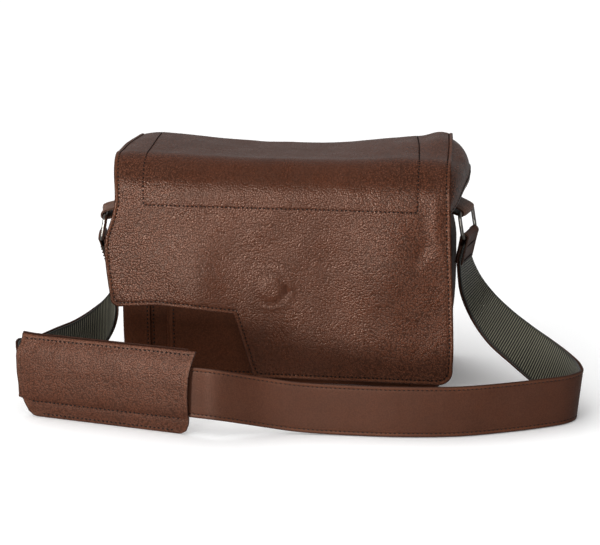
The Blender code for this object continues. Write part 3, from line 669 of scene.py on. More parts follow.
def snap_mark(x, run):
    """The faint round impression of the snap's stud, clearest on its right side."""
    z = STRAIGHT_TOP + BEND_END - run
    dx, dz = x + 6 * MM, z - 106 * MM
    radius = np.hypot(dx, dz)
    turn = np.arctan2(dz, dx)
    clear = 0.25 + 0.75 * bell(turn, 0.1, 1.15)
    disc = 1.2 * (1 - smooth(radius, 10 * MM, 16 * MM))
    crease = -1.8 * bell(radius, 16 * MM, 1.8 * MM) * clear
    lip = 1.3 * bell(radius, 19.8 * MM, 2.4 * MM) * clear
    return (disc + crease + lip) * MM


def edge_relief(x, run):
    """The turned bead along the flap's edge, the groove of its stitches and the stiffener's stitched lines."""
    inside = distance_to_line(x, run, OUTLINE)
    bead = 0.6 * bell(inside, 1.7 * MM, 1.2 * MM)
    groove = -0.4 * bell(inside, STITCH_INSET, 1.0 * MM)
    on_board = smooth(-run, -(BOARD_RUN + 1.5 * MM), -BOARD_RUN)
    between = smooth(x, board_edge(run, -1) - 2 * MM, board_edge(run, -1))
    between = between * smooth(-x, -(board_edge(run, 1) + 2 * MM), -board_edge(run, 1))
    lines = bell(run, BOARD_RUN, 0.9 * MM) * between
    for side in (-1, 1):
        lines = np.maximum(lines, bell(x, board_edge(run, side), 0.9 * MM) * on_board)
    plate = 0.35 * on_board * between
    return (bead + groove - 0.4 * lines + plate) * MM, inside


def cut_sway(x, run):
    """The cut edge isn't level: it waves a little from the corner to the inner angle."""
    at, lift = (-176, -160, -125, -85, -45, 10), (1.5, 0, -3.4, -1.2, 3.6, 0)
    sway = np.interp(x, np.array(at) * MM, np.array(lift) * MM)
    return sway * bell(run, CUT_RUN, 48 * MM)


def flap_point(x, run, depth=0.0):
    """Points of the flap's outer face from its flat pattern, moved in by depth."""
    x, run = np.asarray(x, float), np.asarray(run, float)
    relief, inside = edge_relief(x, run)
    rise = flap_height(x, run) + (wrinkles(x, run) + snap_mark(x, run) + relief) * (depth < 1.5 * MM) - depth
    run = run + cut_sway(x, run)
    angle = np.clip((run - TOP_RUN) / BEND, 0, math.pi / 2)
    y = np.where(run < TOP_RUN, FLAP_REAR - run, FACE + BEND - BEND * np.sin(angle))
    z = np.where(run < TOP_RUN, CREST, CREST - BEND + BEND * np.cos(angle))
    z = z - np.maximum(run - BEND_END, 0)
    return np.stack([x, y - np.sin(angle) * rise, z + np.cos(angle) * rise], axis=-1), inside


EDGE_STEPS = (0, 0.6, 1.2, 1.9, 2.7, 3.4, 4.2, 5.0, 6.0, 8.0)
SEAM_STEPS = (-1.8, -1.0, -0.5, 0, 0.5, 1.0, 1.8)


def across(low, high, mark, counts):
    """Columns between two edges, closer together next to the edges and round a stitched line."""
    ends = np.array(EDGE_STEPS) * MM
    seam = mark + np.array(SEAM_STEPS) * MM
    left, right = low + ends, (high - ends)[::-1]
    before = np.linspace(left[-1], seam[0], counts[0] + 1)[1:-1]
    after = np.linspace(seam[-1], right[0], counts[1] + 1)[1:-1]
    return np.concatenate([left, before, seam, after, right])


HEM_STEPS = (-8, -6.2, -5.2, -4.6, -4.0, -3.2, -2.2, -1.2, -0.5, 0)


def flap_sheet(name, margin, depth, thickness, finish, step, first_run=0.0):
    """The whole flap as one sheet: a right block down to the hem and a left block that stops at the cut."""
    cut, hem = CUT_RUN - margin, HEM_RUN - margin
    marks = [end + d * MM for end in (cut, hem) for d in HEM_STEPS]
    marks += [BOARD_RUN + d * MM for d in (-2, -1, 0, 1, 2)]
    marks += corner_runs(hem, RIGHT_CORNER - margin / 2) + [first_run + d * MM for d in (1, 2, 3)]
    runs = levels(first_run, hem, step, marks)
    runs = np.array([cut if abs(r - cut) < 0.2 * MM else r for r in runs])
    spans = (30 * MM, 88 * MM, 180 * MM, 32 * MM)
    counts = [max(3, int(span / step)) for span in spans]
    points, index = [], {}
    for i, run in enumerate(runs):
        lines = [board_edge(min(run, BOARD_RUN), side) for side in (-1, 1)]
        left = across(left_edge(min(run, cut), margin), slant_edge(cut, margin), lines[0], counts[:2])
        right = across(slant_edge(max(run, cut), margin), right_edge(run, margin), lines[1], counts[2:])
        row = list(enumerate(left[:-1])) if run <= cut + 1e-7 else []
        row += [(len(left) - 1 + j, x) for j, x in enumerate(right)]
        for j, x in row:
            index[i, j] = len(points)
            points.append((float(x), float(run)))
    faces = []
    for i, j in index:
        corners = [(i, j), (i + 1, j), (i + 1, j + 1), (i, j + 1)]
        if all(c in index for c in corners):
            faces.append([index[c] for c in corners])
    flat = np.array(points)
    places, inside = flap_point(flat[:, 0], flat[:, 1], depth)
    obj = mesh_object(name, places, faces, finish)
    add_value(obj, "edge", inside / MM)
    return thicken(obj, thickness)


def flap_blend(piece, slot, *nodes):
    """Bakes a piece of the flap into place and hides the CAD nodes that it stands for."""
    if nodes:
        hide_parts(*nodes)
    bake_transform(piece)


def flap_stitches():
    """The seam along the flap's edge and the three stitched lines of the stiffener."""
    hem = flap_outline(STITCH_INSET)
    runs = np.linspace(2 * MM, BOARD_RUN, 60)
    x = np.linspace(board_edge(BOARD_RUN, -1), board_edge(BOARD_RUN, 1), 90)
    rows = [hem[hem[:, 1] > 3 * MM]]
    rows += [np.column_stack([board_edge(runs, side), runs]) for side in (-1, 1)]
    rows += [np.column_stack([x, np.full(len(x), BOARD_RUN)])]
    lines = []
    for row in rows:
        place, _ = flap_point(row[:, 0], row[:, 1])
        ahead, _ = flap_point(row[:, 0], row[:, 1] + 1 * MM)
        beside, _ = flap_point(row[:, 0] + 1 * MM, row[:, 1])
        lines.append((place, unit(np.cross(ahead - place, beside - place))))
    return stitches("flap_stitches", lines)


def make_flap():
    skin = flap_sheet("flap_leather_skin", 0.0, 0.0, FLAP_LEATHER, pebbled, 3.6 * MM)
    flap_blend(skin, LEATHER, "flap_top_leather", "flap_front_leather")
    inner = flap_sheet("flap_lining_skin", 7 * MM, FLAP_LEATHER + 1.5 * MM, 0.7 * MM, lining, 6 * MM, 14 * MM)
    flap_blend(inner, LINING, "flap_top_lining", "flap_front_lining")
    flap_blend(flap_stitches(), LEATHER)
    make_stiffener()
    for side, word in SIDES:
        make_ear(side, word)
    make_hinge_strip()


def make_stiffener():
    grid = []
    for run in levels(10 * MM, BOARD_RUN - 3 * MM, 6 * MM):
        x = np.linspace(board_edge(run, -1) + 3 * MM, board_edge(run, 1) - 3 * MM, 48)
        grid.append(flap_point(x, np.full(48, run), FLAP_LEATHER + 0.25 * MM)[0])
    plate = sheet("stiffener_board", np.array(grid), 1.0 * MM, board, flip=True)
    put(plate, "flap_stiffener", TOP)


# The ears' hem from the rear (0) to the front (1): pairs of place and height, and of place and y.
EAR_HEM_Z = np.array([(0, 216), (0.2, 214), (0.45, 213), (0.7, 201), (0.9, 187), (1, 183)])
EAR_HEM_Y = np.array([(0, 73), (0.06, 66), (0.5, 8), (0.8, -46), (1, -73)])


def make_ear(side, word):
    """A soft wing of leather, gathered into the flap's side seam, that covers the top of the gusset."""
    node = f"ear_{word}"
    reach = 1.0 if side > 0 else 0.45
    rows = []
    for s in np.arange(46) / 45:
        run = 3 * MM + (FOLD_RUN - 5 * MM) * s
        seam_x = right_edge(run) if side > 0 else left_edge(run)
        seam, _ = flap_point(np.array([seam_x - side * 3.2 * MM]), np.array([run]), 2.6 * MM)
        seam = seam[0]
        out = math.sin(math.pi * min(1, 0.06 + 0.94 * s) ** 0.85) ** 0.8
        hem_y, hem_z = (np.interp(s, table[:, 0], table[:, 1]) * MM for table in (EAR_HEM_Y, EAR_HEM_Z))
        hem = np.array([side * (168 + 23 * reach * out) * MM, hem_y, hem_z])
        hem[0] = side * max(side * hem[0], side * seam[0] + (0.5 + 3.0 * reach * out) * MM)
        hem[0] -= side * 13 * MM * float(1 - smooth(np.array(s), 0, 0.1))
        row = []
        for j in range(17):
            t = j / 16
            swell = math.sin(math.pi * t ** 0.8) * (2.0 + 5.5 * reach * out) * MM
            pinch = -1.6 * MM * math.sin(math.pi * min(1, t * 3.2)) * (t < 0.32)
            point = seam * (1 - t) + hem * t
            row.append(point + np.array([side, 0, 0.8]) * (swell * 0.8) + np.array([0, 0, 1]) * pinch * s)
        rows.append(row)
    grid = np.array(rows)
    grid += grid_normals(grid) * (rough(grid, 22 * MM, 5.5) * 0.9 * MM)[..., None]
    put(sheet(f"{node}_skin", grid, 1.8 * MM, pebbled, flip=side > 0), node, TOP)
    sew(f"{node}_stitches", [(grid[:, -3], -grid_normals(grid, flip=side > 0)[:, -3])], TOP)


HINGE_TOP = 235.2 * MM


def dip(x):
    """How much lower the flap's top lies at an x, at the rear, than the hinge strip's plain profile."""
    height, _ = flap_point(np.array([x]), np.array([9 * MM]), 3.2 * MM)
    return float(height[0][2]) - HINGE_TOP - 1.2 * MM


def make_hinge_strip():
    """The leather that turns from the back panel over the rear edge and runs on under the flap."""
    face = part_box("flap_anchor")[1][1]
    radius = 9 * MM
    line = [(face, z * MM) for z in np.linspace(201, 226, 9)]
    turn = np.linspace(0, math.pi / 2, 9)[1:]
    line += [(face - radius + radius * math.cos(a), HINGE_TOP - radius + radius * math.sin(a)) for a in turn]
    line += [(y * MM, HINGE_TOP) for y in (56, 50, 44, 38)]
    grid = []
    for y, z in line:
        share = float(smooth(np.array(z), 220 * MM, HINGE_TOP))
        row = []
        for x in np.linspace(-162, 162, 82) * MM:
            past = max(abs(x) - 153 * MM, 0)
            row.append((x, y - past * past / (26 * MM), z + share * dip(x)))
        grid.append(row)
    strip = sheet("flap_hinge_strip", np.array(grid), 1.5 * MM, pebbled)
    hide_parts("flap_anchor")
    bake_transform(strip)
    x = np.linspace(-154, 154, 60) * MM
    rows = [np.column_stack([x, np.full(len(x), z * MM)]) for z in (204.5, 209)]
    sew("flap_anchor_stitches", [row_at_depth(row, face) for row in rows])


make_flap()


# ---------------------------------------------------------------- shell of the bag
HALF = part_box("gusset_right")[1][0]
SHELL_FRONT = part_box("front_panel")[0][1]
SHELL_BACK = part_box("back_panel")[1][1]
GUSSET_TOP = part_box("gusset_right")[1][2]
FRONT_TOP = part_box("front_panel")[1][2]
BACK_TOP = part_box("back_panel")[1][2]
CORNER = 13 * MM
FOOT = 6 * MM
FLAT = HALF - CORNER
ARC = CORNER * math.pi / 2
SIDE = SHELL_BACK - SHELL_FRONT - 2 * CORNER
REAR_START = FLAT + 2 * ARC + SIDE
SHELL_LEATHER = 1.8 * MM


def side_swell(y, z):
    """How far the stuffed bag's soft side bulges outwards."""
    rise = smooth(z, -30 * MM, 105 * MM) * (1 - smooth(z, 145 * MM, 205 * MM))
    return 12.5 * MM * bell(y, 12 * MM, 42 * MM) * rise


def around(s, z, out=0.0):
    """Points on the shell's wall. S runs from the middle of the front round either side, z is the height."""
    s, z = np.broadcast_arrays(np.asarray(s, float), np.asarray(z, float))
    hand = np.where(s < 0, -1.0, 1.0)
    run = np.abs(s)
    a = np.clip((run - FLAT) / CORNER, 0, math.pi / 2)
    b = np.clip((run - FLAT - ARC - SIDE) / CORNER, 0, math.pi / 2)
    x = np.minimum(run, FLAT) + CORNER * np.sin(a) - CORNER * (1 - np.cos(b)) - np.maximum(run - REAR_START, 0)
    y = SHELL_FRONT + CORNER * (1 - np.cos(a)) + np.clip(run - FLAT - ARC, 0, SIDE) + CORNER * np.sin(b)
    turn = a + b
    under = FOOT - np.sqrt(np.maximum(FOOT**2 - np.maximum(FOOT - z, 0) ** 2, 0))
    swell = side_swell(y, z) * np.sin(turn) ** 2
    crease = -2.2 * MM * bell(y, 2 * MM, 7 * MM + 0.05 * z) * bell(z, 150 * MM, 60 * MM) * np.sin(turn) ** 2
    away = out - under + swell + crease
    return np.stack([hand * (x + np.sin(turn) * away), y - np.cos(turn) * away, z], axis=-1)


def shell_sheet(name, s, z, out, thickness, node, seed):
    """A leather panel of the shell between perimeter positions s and heights z."""
    flat = around(s[None, :], z[::-1, None], out)
    sway = (rough(flat, 30 * MM, seed) + rough(flat, 12 * MM, seed + 4) * 0.3) * 0.35 * MM
    held = np.minimum(1, rim_distance(flat) / (12 * MM))
    grid = around(s[None, :], z[::-1, None], out + sway * held)
    put(sheet(name, grid, thickness, panel_leather, flip=s[-1] > s[0]), node)


def wall_stitches(name, rows, out):
    """Rows of stitches on the shell's wall, each a list of (s, z) in metres."""
    lines = []
    for row in rows:
        row = refine(np.array(row, float), 4 * MM)
        place = around(row[:, 0], row[:, 1], out)
        beyond = around(row[:, 0], row[:, 1], out + 1 * MM)
        lines.append((place, (beyond - place) / MM))
    sew(name, lines)


def upright(s, top):
    """A line up the shell's wall at one place."""
    return [(s, 7 * MM), (s, top)]


FINE = (0, 0.6 * MM, 1.4 * MM, 2.4 * MM, 3.6 * MM)
BAND_EDGE = 136 * MM
BAND_TOP, BAND_SEAM_TOP = 209 * MM, 205 * MM
REAR_BAND_TOP, REAR_SEAM_TOP = 198 * MM, 196 * MM


def make_shell():
    low = 1.0 * MM
    foot = [low + d for d in FINE]
    rise = levels(low, FRONT_TOP, 7 * MM, foot + [FOOT] + [FRONT_TOP - d for d in FINE])
    s = levels(-FLAT + 1 * MM, FLAT - 1 * MM, 7 * MM)
    shell_sheet("front_panel_leather", s, rise, 0, SHELL_LEATHER, "front_panel", 1)
    for side, word in SIDES:
        rise = edged(low, GUSSET_TOP, 6 * MM, FINE)
        s = levels(FLAT + 2 * MM, REAR_START - 1 * MM, 4 * MM) * side
        shell_sheet(f"gusset_{word}_leather", s, rise, 0, SHELL_LEATHER, f"gusset_{word}", 2)
        s = levels(REAR_START - ARC - 5 * MM, REAR_START + 9 * MM, 2.5 * MM) * side
        rise = edged(low, REAR_BAND_TOP, 6 * MM, FINE, both=False)
        shell_sheet(f"rear_band_{word}", s, rise, 1.7 * MM, 1.6 * MM, None, 3)
        s = edged(BAND_EDGE, FLAT + ARC + 8 * MM, 2.5 * MM, FINE, both=False) * side
        rise = edged(low, BAND_TOP, 6 * MM, FINE, both=False)
        shell_sheet(f"corner_band_{word}_leather", s, rise, 1.9 * MM, 1.7 * MM, f"corner_band_{word}", 5)
        rows = [upright(side * at, BAND_SEAM_TOP) for at in (BAND_EDGE + 3.2 * MM, FLAT + ARC + 5 * MM)]
        wall_stitches(f"corner_band_{word}_stitches", rows, 1.95 * MM)
        rows = [upright(side * at, REAR_SEAM_TOP) for at in (REAR_START + 6 * MM, REAR_START - ARC - 2 * MM)]
        wall_stitches(f"rear_band_{word}_stitches", rows, 1.75 * MM)
        rows = [upright(side * (BAND_EDGE - 2.8 * MM), BAND_SEAM_TOP)]
        wall_stitches(f"front_seam_{word}_stitches", rows, 0.05 * MM)
    make_back_panel(low, foot)
    make_base()
    make_lining()


def make_back_panel(low, foot):
    rise = levels(low, BACK_TOP - 4 * MM, 7 * MM, foot + [FOOT])
    x = levels(-FLAT + 1 * MM, FLAT - 1 * MM, 7 * MM)
    grid = []
    for z in rise[::-1]:
        point = around(np.full(len(x), REAR_START + 1 * MM), np.full(len(x), z))
        grid.append(np.stack([x, point[:, 1], np.full(len(x), z)], axis=-1))
    grid = np.array(grid)
    held = np.minimum(1, rim_distance(grid) / (12 * MM))
    grid[..., 1] += rough(grid, 34 * MM, 8.2) * 0.35 * MM * held - 0.3 * MM
    put(sheet("back_panel_leather", grid, SHELL_LEATHER, panel_leather, flip=True), "back_panel")


def wall_loop(z, out):
    """A closed turn round the shell at one height, anticlockwise from the middle of the front."""
    reach = REAR_START + FLAT
    s = levels(0, reach, 6 * MM, [FLAT, FLAT + ARC, REAR_START - ARC, REAR_START])
    right = around(s, z, out)
    left = around(-s[1:-1], z, out)[::-1]
    return np.vstack([right, left])


def loop_solid(name, loops, finish, caps=(True, True), flip=False):
    """A form lofted through closed loops of equal count, closed by a flat face at either end."""
    grid = np.array(loops)
    rows, columns = grid.shape[:2]
    faces = grid_faces(rows, columns, around=True)
    if caps[0]:
        faces.append(tuple(range(columns))[::-1])
    if caps[1]:
        faces.append(tuple((rows - 1) * columns + k for k in range(columns)))
    if flip:
        faces = [f[::-1] for f in faces]
    return mesh_object(name, grid.reshape(-1, 3), faces, finish)


def make_base():
    steps = ((0.0, 1.6), (0.0, 0.5), (0.3, 0.15), (0.9, 0.0))
    loops = [wall_loop(z * MM, -inset * MM - 0.4 * MM) for inset, z in steps]
    base = loop_solid("base_panel_leather", loops, panel_leather, flip=True)
    set_far_from_rim(base)
    put(base, "base_panel")
    steps = ((0.5, 3.6), (0, 4.0), (0, 5.4), (0.5, 5.8))
    loops = [wall_loop(z * MM, -6.5 * MM - inset * MM) for inset, z in steps]
    put(loop_solid("base_board_plate", loops, board), "base_board")


def make_lining():
    """The fabric bag inside the shell, with a leather binding round its rim."""
    heights = [2.6, 5, 9] + list(range(20, 211, 10)) + [214]
    loops = [wall_loop(z * MM, -2.4 * MM) for z in heights[::-1]]
    loops += [wall_loop(2.4 * MM, -d * MM) for d in (6, 12, 24, 40)]
    skin = loop_solid("shell_lining_fabric", loops, lining, caps=(False, True))
    thicken(skin, 0.6 * MM, rounding=0, offset=1.0)
    put(skin, "shell_lining")
    profile = ((-1.9, -12), (-1.9, 0), (-2.1, 1.2), (-2.6, 1.7), (-3.2, 1.3), (-3.5, 0), (-3.5, -12))
    loops = [wall_loop((heights[-1] + z) * MM, out * MM) for out, z in profile]
    rim = loop_solid("lining_rim_binding", loops, panel_leather, caps=(False, False), flip=True)
    set_far_from_rim(rim)
    thicken(rim, 0.35 * MM, rounding=0, offset=1.0)
    put(rim)


# ---------------------------------------------------------------- padded inside
def rect_loop(low, high, radius, inset=0.0, side=12, corner=6):
    """A rounded rectangle walked anticlockwise, with the same number of points whatever its inset."""
    x0, y0, x1, y1 = low[0] + inset, low[1] + inset, high[0] - inset, high[1] - inset
    r = max(radius - inset, 0.3 * MM)
    centres = ((x1 - r, y0 + r, -90), (x1 - r, y1 - r, 0), (x0 + r, y1 - r, 90), (x0 + r, y0 + r, 180))
    points = []
    for k, (cx, cy, start) in enumerate(centres):
        turn = np.radians(np.linspace(start, start + 90, corner))
        points += [(cx + r * math.cos(a), cy + r * math.sin(a)) for a in turn]
        nx, ny, begin = centres[(k + 1) % 4]
        ahead = (nx + r * math.cos(math.radians(begin)), ny + r * math.sin(math.radians(begin)))
        last = points[-1]
        for t in np.linspace(0, 1, side + 2)[1:-1]:
            points.append((last[0] + (ahead[0] - last[0]) * t, last[1] + (ahead[1] - last[1]) * t))
    return np.array(points)


def lofted_box(name, low, high, profile, finish, **how):
    """A form lofted through rounded rectangles, each with an inset in millimetres and its height."""
    loops = [[(x, y, z) for x, y in rect_loop(low[:2], high[:2], 12 * MM, inset * MM)] for inset, z in profile]
    return loop_solid(name, loops, finish, **how)


def make_insert():
    """The padded tray: a wall that turns over its bound rim and runs down to a padded floor."""
    low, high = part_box("camera_insert")
    foot, top = low[2], high[2]
    profile = [(2.5, foot), (0.6, foot + 1 * MM), (0, foot + 3.5 * MM)]
    profile += [(0, foot + (top - foot - 8 * MM) * k / 9 + 3.5 * MM) for k in range(1, 9)]
    profile += [(0.3, top - 5 * MM), (1.0, top - 2 * MM), (2.8, top - 0.4 * MM), (4.5, top), (6.2, top - 0.4 * MM)]
    profile += [(8.0, top - 2 * MM), (8.8, top - 5 * MM), (9.2, top - 20 * MM), (9.8, (top + foot) / 2)]
    profile += [(9.4, foot + 22 * MM), (9.6, foot + 13 * MM), (11.5, foot + 9.6 * MM), (15, foot + 8.8 * MM)]
    profile += [(25, foot + 9.8 * MM), (40, foot + 10.2 * MM)]
    tray = put(lofted_box("camera_insert_padding", low, high, profile, padding), "camera_insert")
    bound = [(-0.35, -9), (-0.1, -5), (0.5, -1.7), (2.6, 0.2), (4.5, 0.6)]
    bound += [(6.4, 0.2), (8.5, -1.7), (9.1, -5), (9.5, -9)]
    profile = [(inset, top + z * MM) for inset, z in bound]
    tape = lofted_box("camera_insert_binding", low, high, profile, binding, caps=(False, False))
    put(thicken(tape, 0.5 * MM, rounding=0, offset=1.0))
    for _, word in SIDES:
        make_divider(word)


def make_divider(word):
    """A padded wall with a bound edge."""
    node = f"divider_{word}"
    low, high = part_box(node)
    middle, half = (low[0] + high[0]) / 2, (high[0] - low[0]) / 2

    def walk_round(inset, x):
        return [(x, y, z) for y, z in rect_loop(low[1:], high[1:], 12 * MM, inset * MM, side=10)]

    layers = [(34, 1.0), (18, 0.98), (8, 0.95), (4, 0.86), (1.8, 0.68), (0.6, 0.5), (0, 0.28)]
    loops = [walk_round(inset, middle - share * half) for inset, share in layers]
    loops += [walk_round(inset, middle + share * half) for inset, share in layers[::-1]]
    wall = put(loop_solid(f"{node}_padding", loops, padding), node, node)
    bound = [(6.5, 0.97), (2.2, 0.8), (0.3, 0.62), (-0.25, 0.3)]
    bound += [(inset, -share) for inset, share in bound[::-1]]
    loops = [walk_round(inset - 0.3, middle + share * (half + 0.35 * MM)) for inset, share in bound]
    tape = loop_solid(f"{node}_binding", loops, binding, caps=(False, False), flip=True)
    put(thicken(tape, 0.4 * MM, rounding=0, offset=0.0), body=node)


# ---------------------------------------------------------------- front pocket
POCKET_LOW, POCKET_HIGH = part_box("pocket_panel")
POCKET_THICK = 1.8 * MM


def pocket_point(x, z, out=0.0):
    """The pocket's face: soft, with a slanting fold or two and its sides rolled back."""
    x, z = np.broadcast_arrays(np.asarray(x, float), np.asarray(z, float))
    flat = np.stack([x, z, np.zeros_like(x)], axis=-1)
    leaning = np.stack([(x - z * 0.6), (x * 0.25 + z * 0.5), np.zeros_like(x)], axis=-1)
    sway = rough(flat, 42 * MM, 2.4) * 0.7 + rough(leaning, 15 * MM, 6.1) * 0.75
    inner = np.minimum(1, np.minimum(POCKET_HIGH[0] - np.abs(x), POCKET_HIGH[2] - z) / (10 * MM))
    past = np.maximum(np.abs(x) - (POCKET_HIGH[0] - 1.5 * MM), 0)
    roll = np.sqrt(np.maximum((3.4 * MM) ** 2 - past**2, 0)) - 3.4 * MM
    y = POCKET_LOW[1] - (sway * 0.8 * inner) * MM - roll - out - 0.2 * MM
    return np.stack([x, y, z], axis=-1)


def make_pocket():
    foot, top, reach = POCKET_LOW[2], POCKET_HIGH[2], POCKET_HIGH[0] + 1.6 * MM
    x = edged(-reach, reach, 3.5 * MM, FINE)
    z = edged(foot, top, 3.5 * MM, FINE, both=False)
    grid = pocket_point(x[None, :], z[::-1, None])
    put(sheet("pocket_panel_leather", grid, POCKET_THICK, panel_leather, flip=True), "pocket_panel")
    hem, low = 166 * MM, 13.5 * MM
    outer, inner = POCKET_HIGH[0] - 3 * MM, POCKET_HIGH[0] - 5 * MM
    rows = []
    for line in ([(-outer, hem), (-outer, low), (outer, low), (outer, hem)], [(-inner, hem), (inner, hem)]):
        line = refine(np.array(line), 3 * MM)
        rows.append((pocket_point(line[:, 0], line[:, 1], 0.1 * MM), facing([0.0, -1.0, 0.0], len(line))))
    sew("pocket_stitches", rows)
    fold = [(111.6, -63.9), (114.2, -64.4), (116.6, -65.4), (117.4, -66.3)]
    fold += [(116.4, -67.1), (113.6, -67.9), (111.8, -69)]
    z = levels(foot, top - 2 * MM, 6 * MM)
    for side, word in SIDES:
        grid = np.array([[(side * px * MM, py * MM, h) for px, py in fold] for h in z[::-1]])
        grid[..., 0] += side * rough(grid, 14 * MM, 9.0) * 0.5 * MM
        name = f"pocket_gusset_{word}"
        put(sheet(f"{name}_leather", grid, 1.1 * MM, panel_leather, flip=side > 0), name)
    fold = [(13.6, -64.2), (11.4, -64.6), (9.4, -65.6), (8.9, -66.6), (9.8, -67.6), (11.4, -68.7)]
    x = levels(-110 * MM, 110 * MM, 6 * MM)
    grid = np.array([[(px, y * MM, z * MM) for px in x] for z, y in fold])
    put(sheet("pocket_floor_leather", grid, 1.1 * MM, panel_leather, flip=True), "pocket_floor")
    make_snap()


def turned_disc(name, profile, centre, caps=(True, True)):
    """A metal disc turned about the Y axis from (radius, y) pairs, in millimetres."""
    turn = np.linspace(0, 2 * math.pi, 49)[:-1]
    loops = []
    for radius, y in profile:
        reach = radius * MM
        loops.append([(centre[0] + reach * math.cos(a), y * MM, centre[2] + reach * math.sin(a)) for a in turn])
    return loop_solid(name, loops, nickel, caps)


def make_snap():
    low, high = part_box("snap_socket")
    centre = [(a + b) / 2 for a, b in zip(low, high)]
    front, back = low[1] / MM, high[1] / MM
    profile = [(9.6, back), (10, back - 0.3)]
    profile += [(10, front + 0.5), (9.7, front + 0.1), (9.0, front), (8.3, front + 0.25), (7.9, front + 0.6)]
    profile += [(6.0, front + 0.6), (5.6, front + 0.1), (5.0, front), (4.0, front), (3.5, front + 0.25)]
    profile += [(3.4, front + 0.7), (3.4, back), (9.6, back)]
    put(turned_disc("snap_socket_ring", profile, centre, caps=(False, False)), "snap_socket")
    low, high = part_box("snap_stud")
    front, back = low[1] / MM, high[1] / MM
    plate = back - 0.8
    profile = [(0.3, back), (1.9, back), (2.5, back - 0.4), (2.6, back - 0.9), (2.3, plate + 0.2), (2.9, plate)]
    profile += [(7.2, plate), (7.6, plate), (8.2, plate - 0.1), (9.6, plate - 0.1), (10, plate - 0.4)]
    profile += [(10, front + 0.2), (9.8, front)]
    put(turned_disc("snap_stud_disc", profile, centre), "snap_stud", FRONT)


# ---------------------------------------------------------------- rear pocket and its zip
def make_rear_pocket():
    low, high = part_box("rear_pocket_panel")
    fine = [d * MM for d in (0, 0.7, 1.5, 2.6, 4)]
    x = edged(low[0], high[0], 6 * MM, fine)
    z = edged(low[2], high[2], 6 * MM, fine)
    rows = []
    radius = 14 * MM
    for height in z[::-1]:
        into = max(low[2] + radius - height, 0)
        draw = radius - math.sqrt(max(radius**2 - into**2, 0))
        share = (high[0] - draw) / high[0]
        rows.append([(px * share, high[1], height) for px in x])
    grid = np.array(rows)
    inside = rim_distance(grid)
    lift = 1.0 * MM * smooth(inside, 5 * MM, 30 * MM) + 0.3 * MM * bell(inside, 1.8 * MM, 1.5 * MM)
    lift = lift - 0.4 * MM * bell(inside, 4.4 * MM, 0.8 * MM)
    grid[..., 1] += lift + rough(grid, 30 * MM, 4.4) * 0.45 * MM * smooth(inside, 3 * MM, 20 * MM)
    put(sheet("rear_pocket_leather", grid, 1.7 * MM, pebbled, rim=inside), "rear_pocket_panel")
    edge = 4.4 * MM
    bend, middle_x, middle_z = radius - edge, low[0] + radius, low[2] + radius
    line = [(low[0] + edge, high[2] - 3 * MM), (low[0] + edge, middle_z)]
    turn = np.radians(np.linspace(180, 270, 9))[1:]
    line += [(middle_x + bend * math.cos(a), middle_z + bend * math.sin(a)) for a in turn]
    line += [(-px, pz) for px, pz in line[::-1]]
    top = [(low[0] + 6 * MM, high[2] - 3.4 * MM), (high[0] - 6 * MM, high[2] - 3.4 * MM)]
    y = high[1] + 0.1 * MM
    sew("rear_pocket_stitches", [row_at_depth(refine(np.array(row), 4 * MM), y) for row in (line, top)])
    for word in ("lower", "upper"):
        make_zip_tape(f"rear_zip_tape_{word}")
    make_zip_facing()
    make_zip_teeth()
    make_zip_slider()


def make_zip_tape(node):
    low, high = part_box(node)
    x = levels(low[0], high[0], 8 * MM)
    z = levels(low[2], high[2], 1.6 * MM)
    grid = np.array([[(px, high[1], h) for px in x] for h in z[::-1]])
    grid[..., 1] += 0.12 * MM * np.sin(grid[..., 2] / MM * 2.2)
    put(sheet(f"{node}_weave", grid, 0.6 * MM, zip_tape), node)


def make_zip_facing():
    """The leather strip sewn over the zip's upper tape."""
    low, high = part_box("rear_zip_tape_upper")
    x = levels(low[0] - 3 * MM, high[0] + 3 * MM, 8 * MM)
    z = np.linspace(high[2] - 4 * MM, high[2] + 6 * MM, 9)
    grid = np.array([[(px, high[1] + 1.3 * MM, h) for px in x] for h in z[::-1]])
    inside = rim_distance(grid)
    grid[..., 1] -= 0.5 * MM * bell(inside, 0, 1.2 * MM)
    put(sheet("rear_zip_facing", grid, 1.2 * MM, panel_leather, rim=inside))
    line = refine(np.array([(low[0], high[2] - 1.2 * MM), (high[0], high[2] - 1.2 * MM)]), 4 * MM)
    rows = [row_at_depth(line + np.array([0, rise]), high[1] + 1.35 * MM) for rise in (0, 4.6 * MM)]
    sew("rear_zip_facing_stitches", rows)


TOOTH_OUTLINE = (
    (-2.7, -0.48), (-0.6, -0.48), (0.7, -0.62), (1.1, -0.35),
    (1.1, 0.35), (0.7, 0.62), (-0.6, 0.48), (-2.7, 0.48),
)


def make_zip_teeth():
    """Interlocked metal teeth, each one a tapered block set half a pitch from its neighbour."""
    low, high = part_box("rear_zip_chain")
    middle = (low[2] + high[2]) / 2
    pitch = 2.3 * MM
    centre = -0.8
    layers = ((low[1] + 0.05 * MM, 1.0), (high[1] - 0.45 * MM, 1.0), (high[1] - 0.05 * MM, 0.72))
    ring = len(TOOTH_OUTLINE)
    points, faces = [], []
    for k in range(2 * int((high[0] - low[0]) / pitch)):
        hand = 1 if k % 2 else -1
        x = low[0] + (k + 0.5) * pitch / 2
        first = len(points)
        for y, share in layers:
            for reach, wide in TOOTH_OUTLINE:
                along = centre + (reach - centre) * (1 - (1 - share) * 0.35)
                points.append((x + wide * share * MM, y, middle - hand * along * MM))
        for f in grid_faces(len(layers), ring, around=True):
            faces.append(tuple(first + v for v in f)[::-hand])
        faces.append(tuple(first + v for v in range(ring))[::hand])
        faces.append(tuple(first + (len(layers) - 1) * ring + v for v in range(ring))[::-hand])
    put(mesh_object("rear_zip_teeth", points, faces, nickel), "rear_zip_chain")


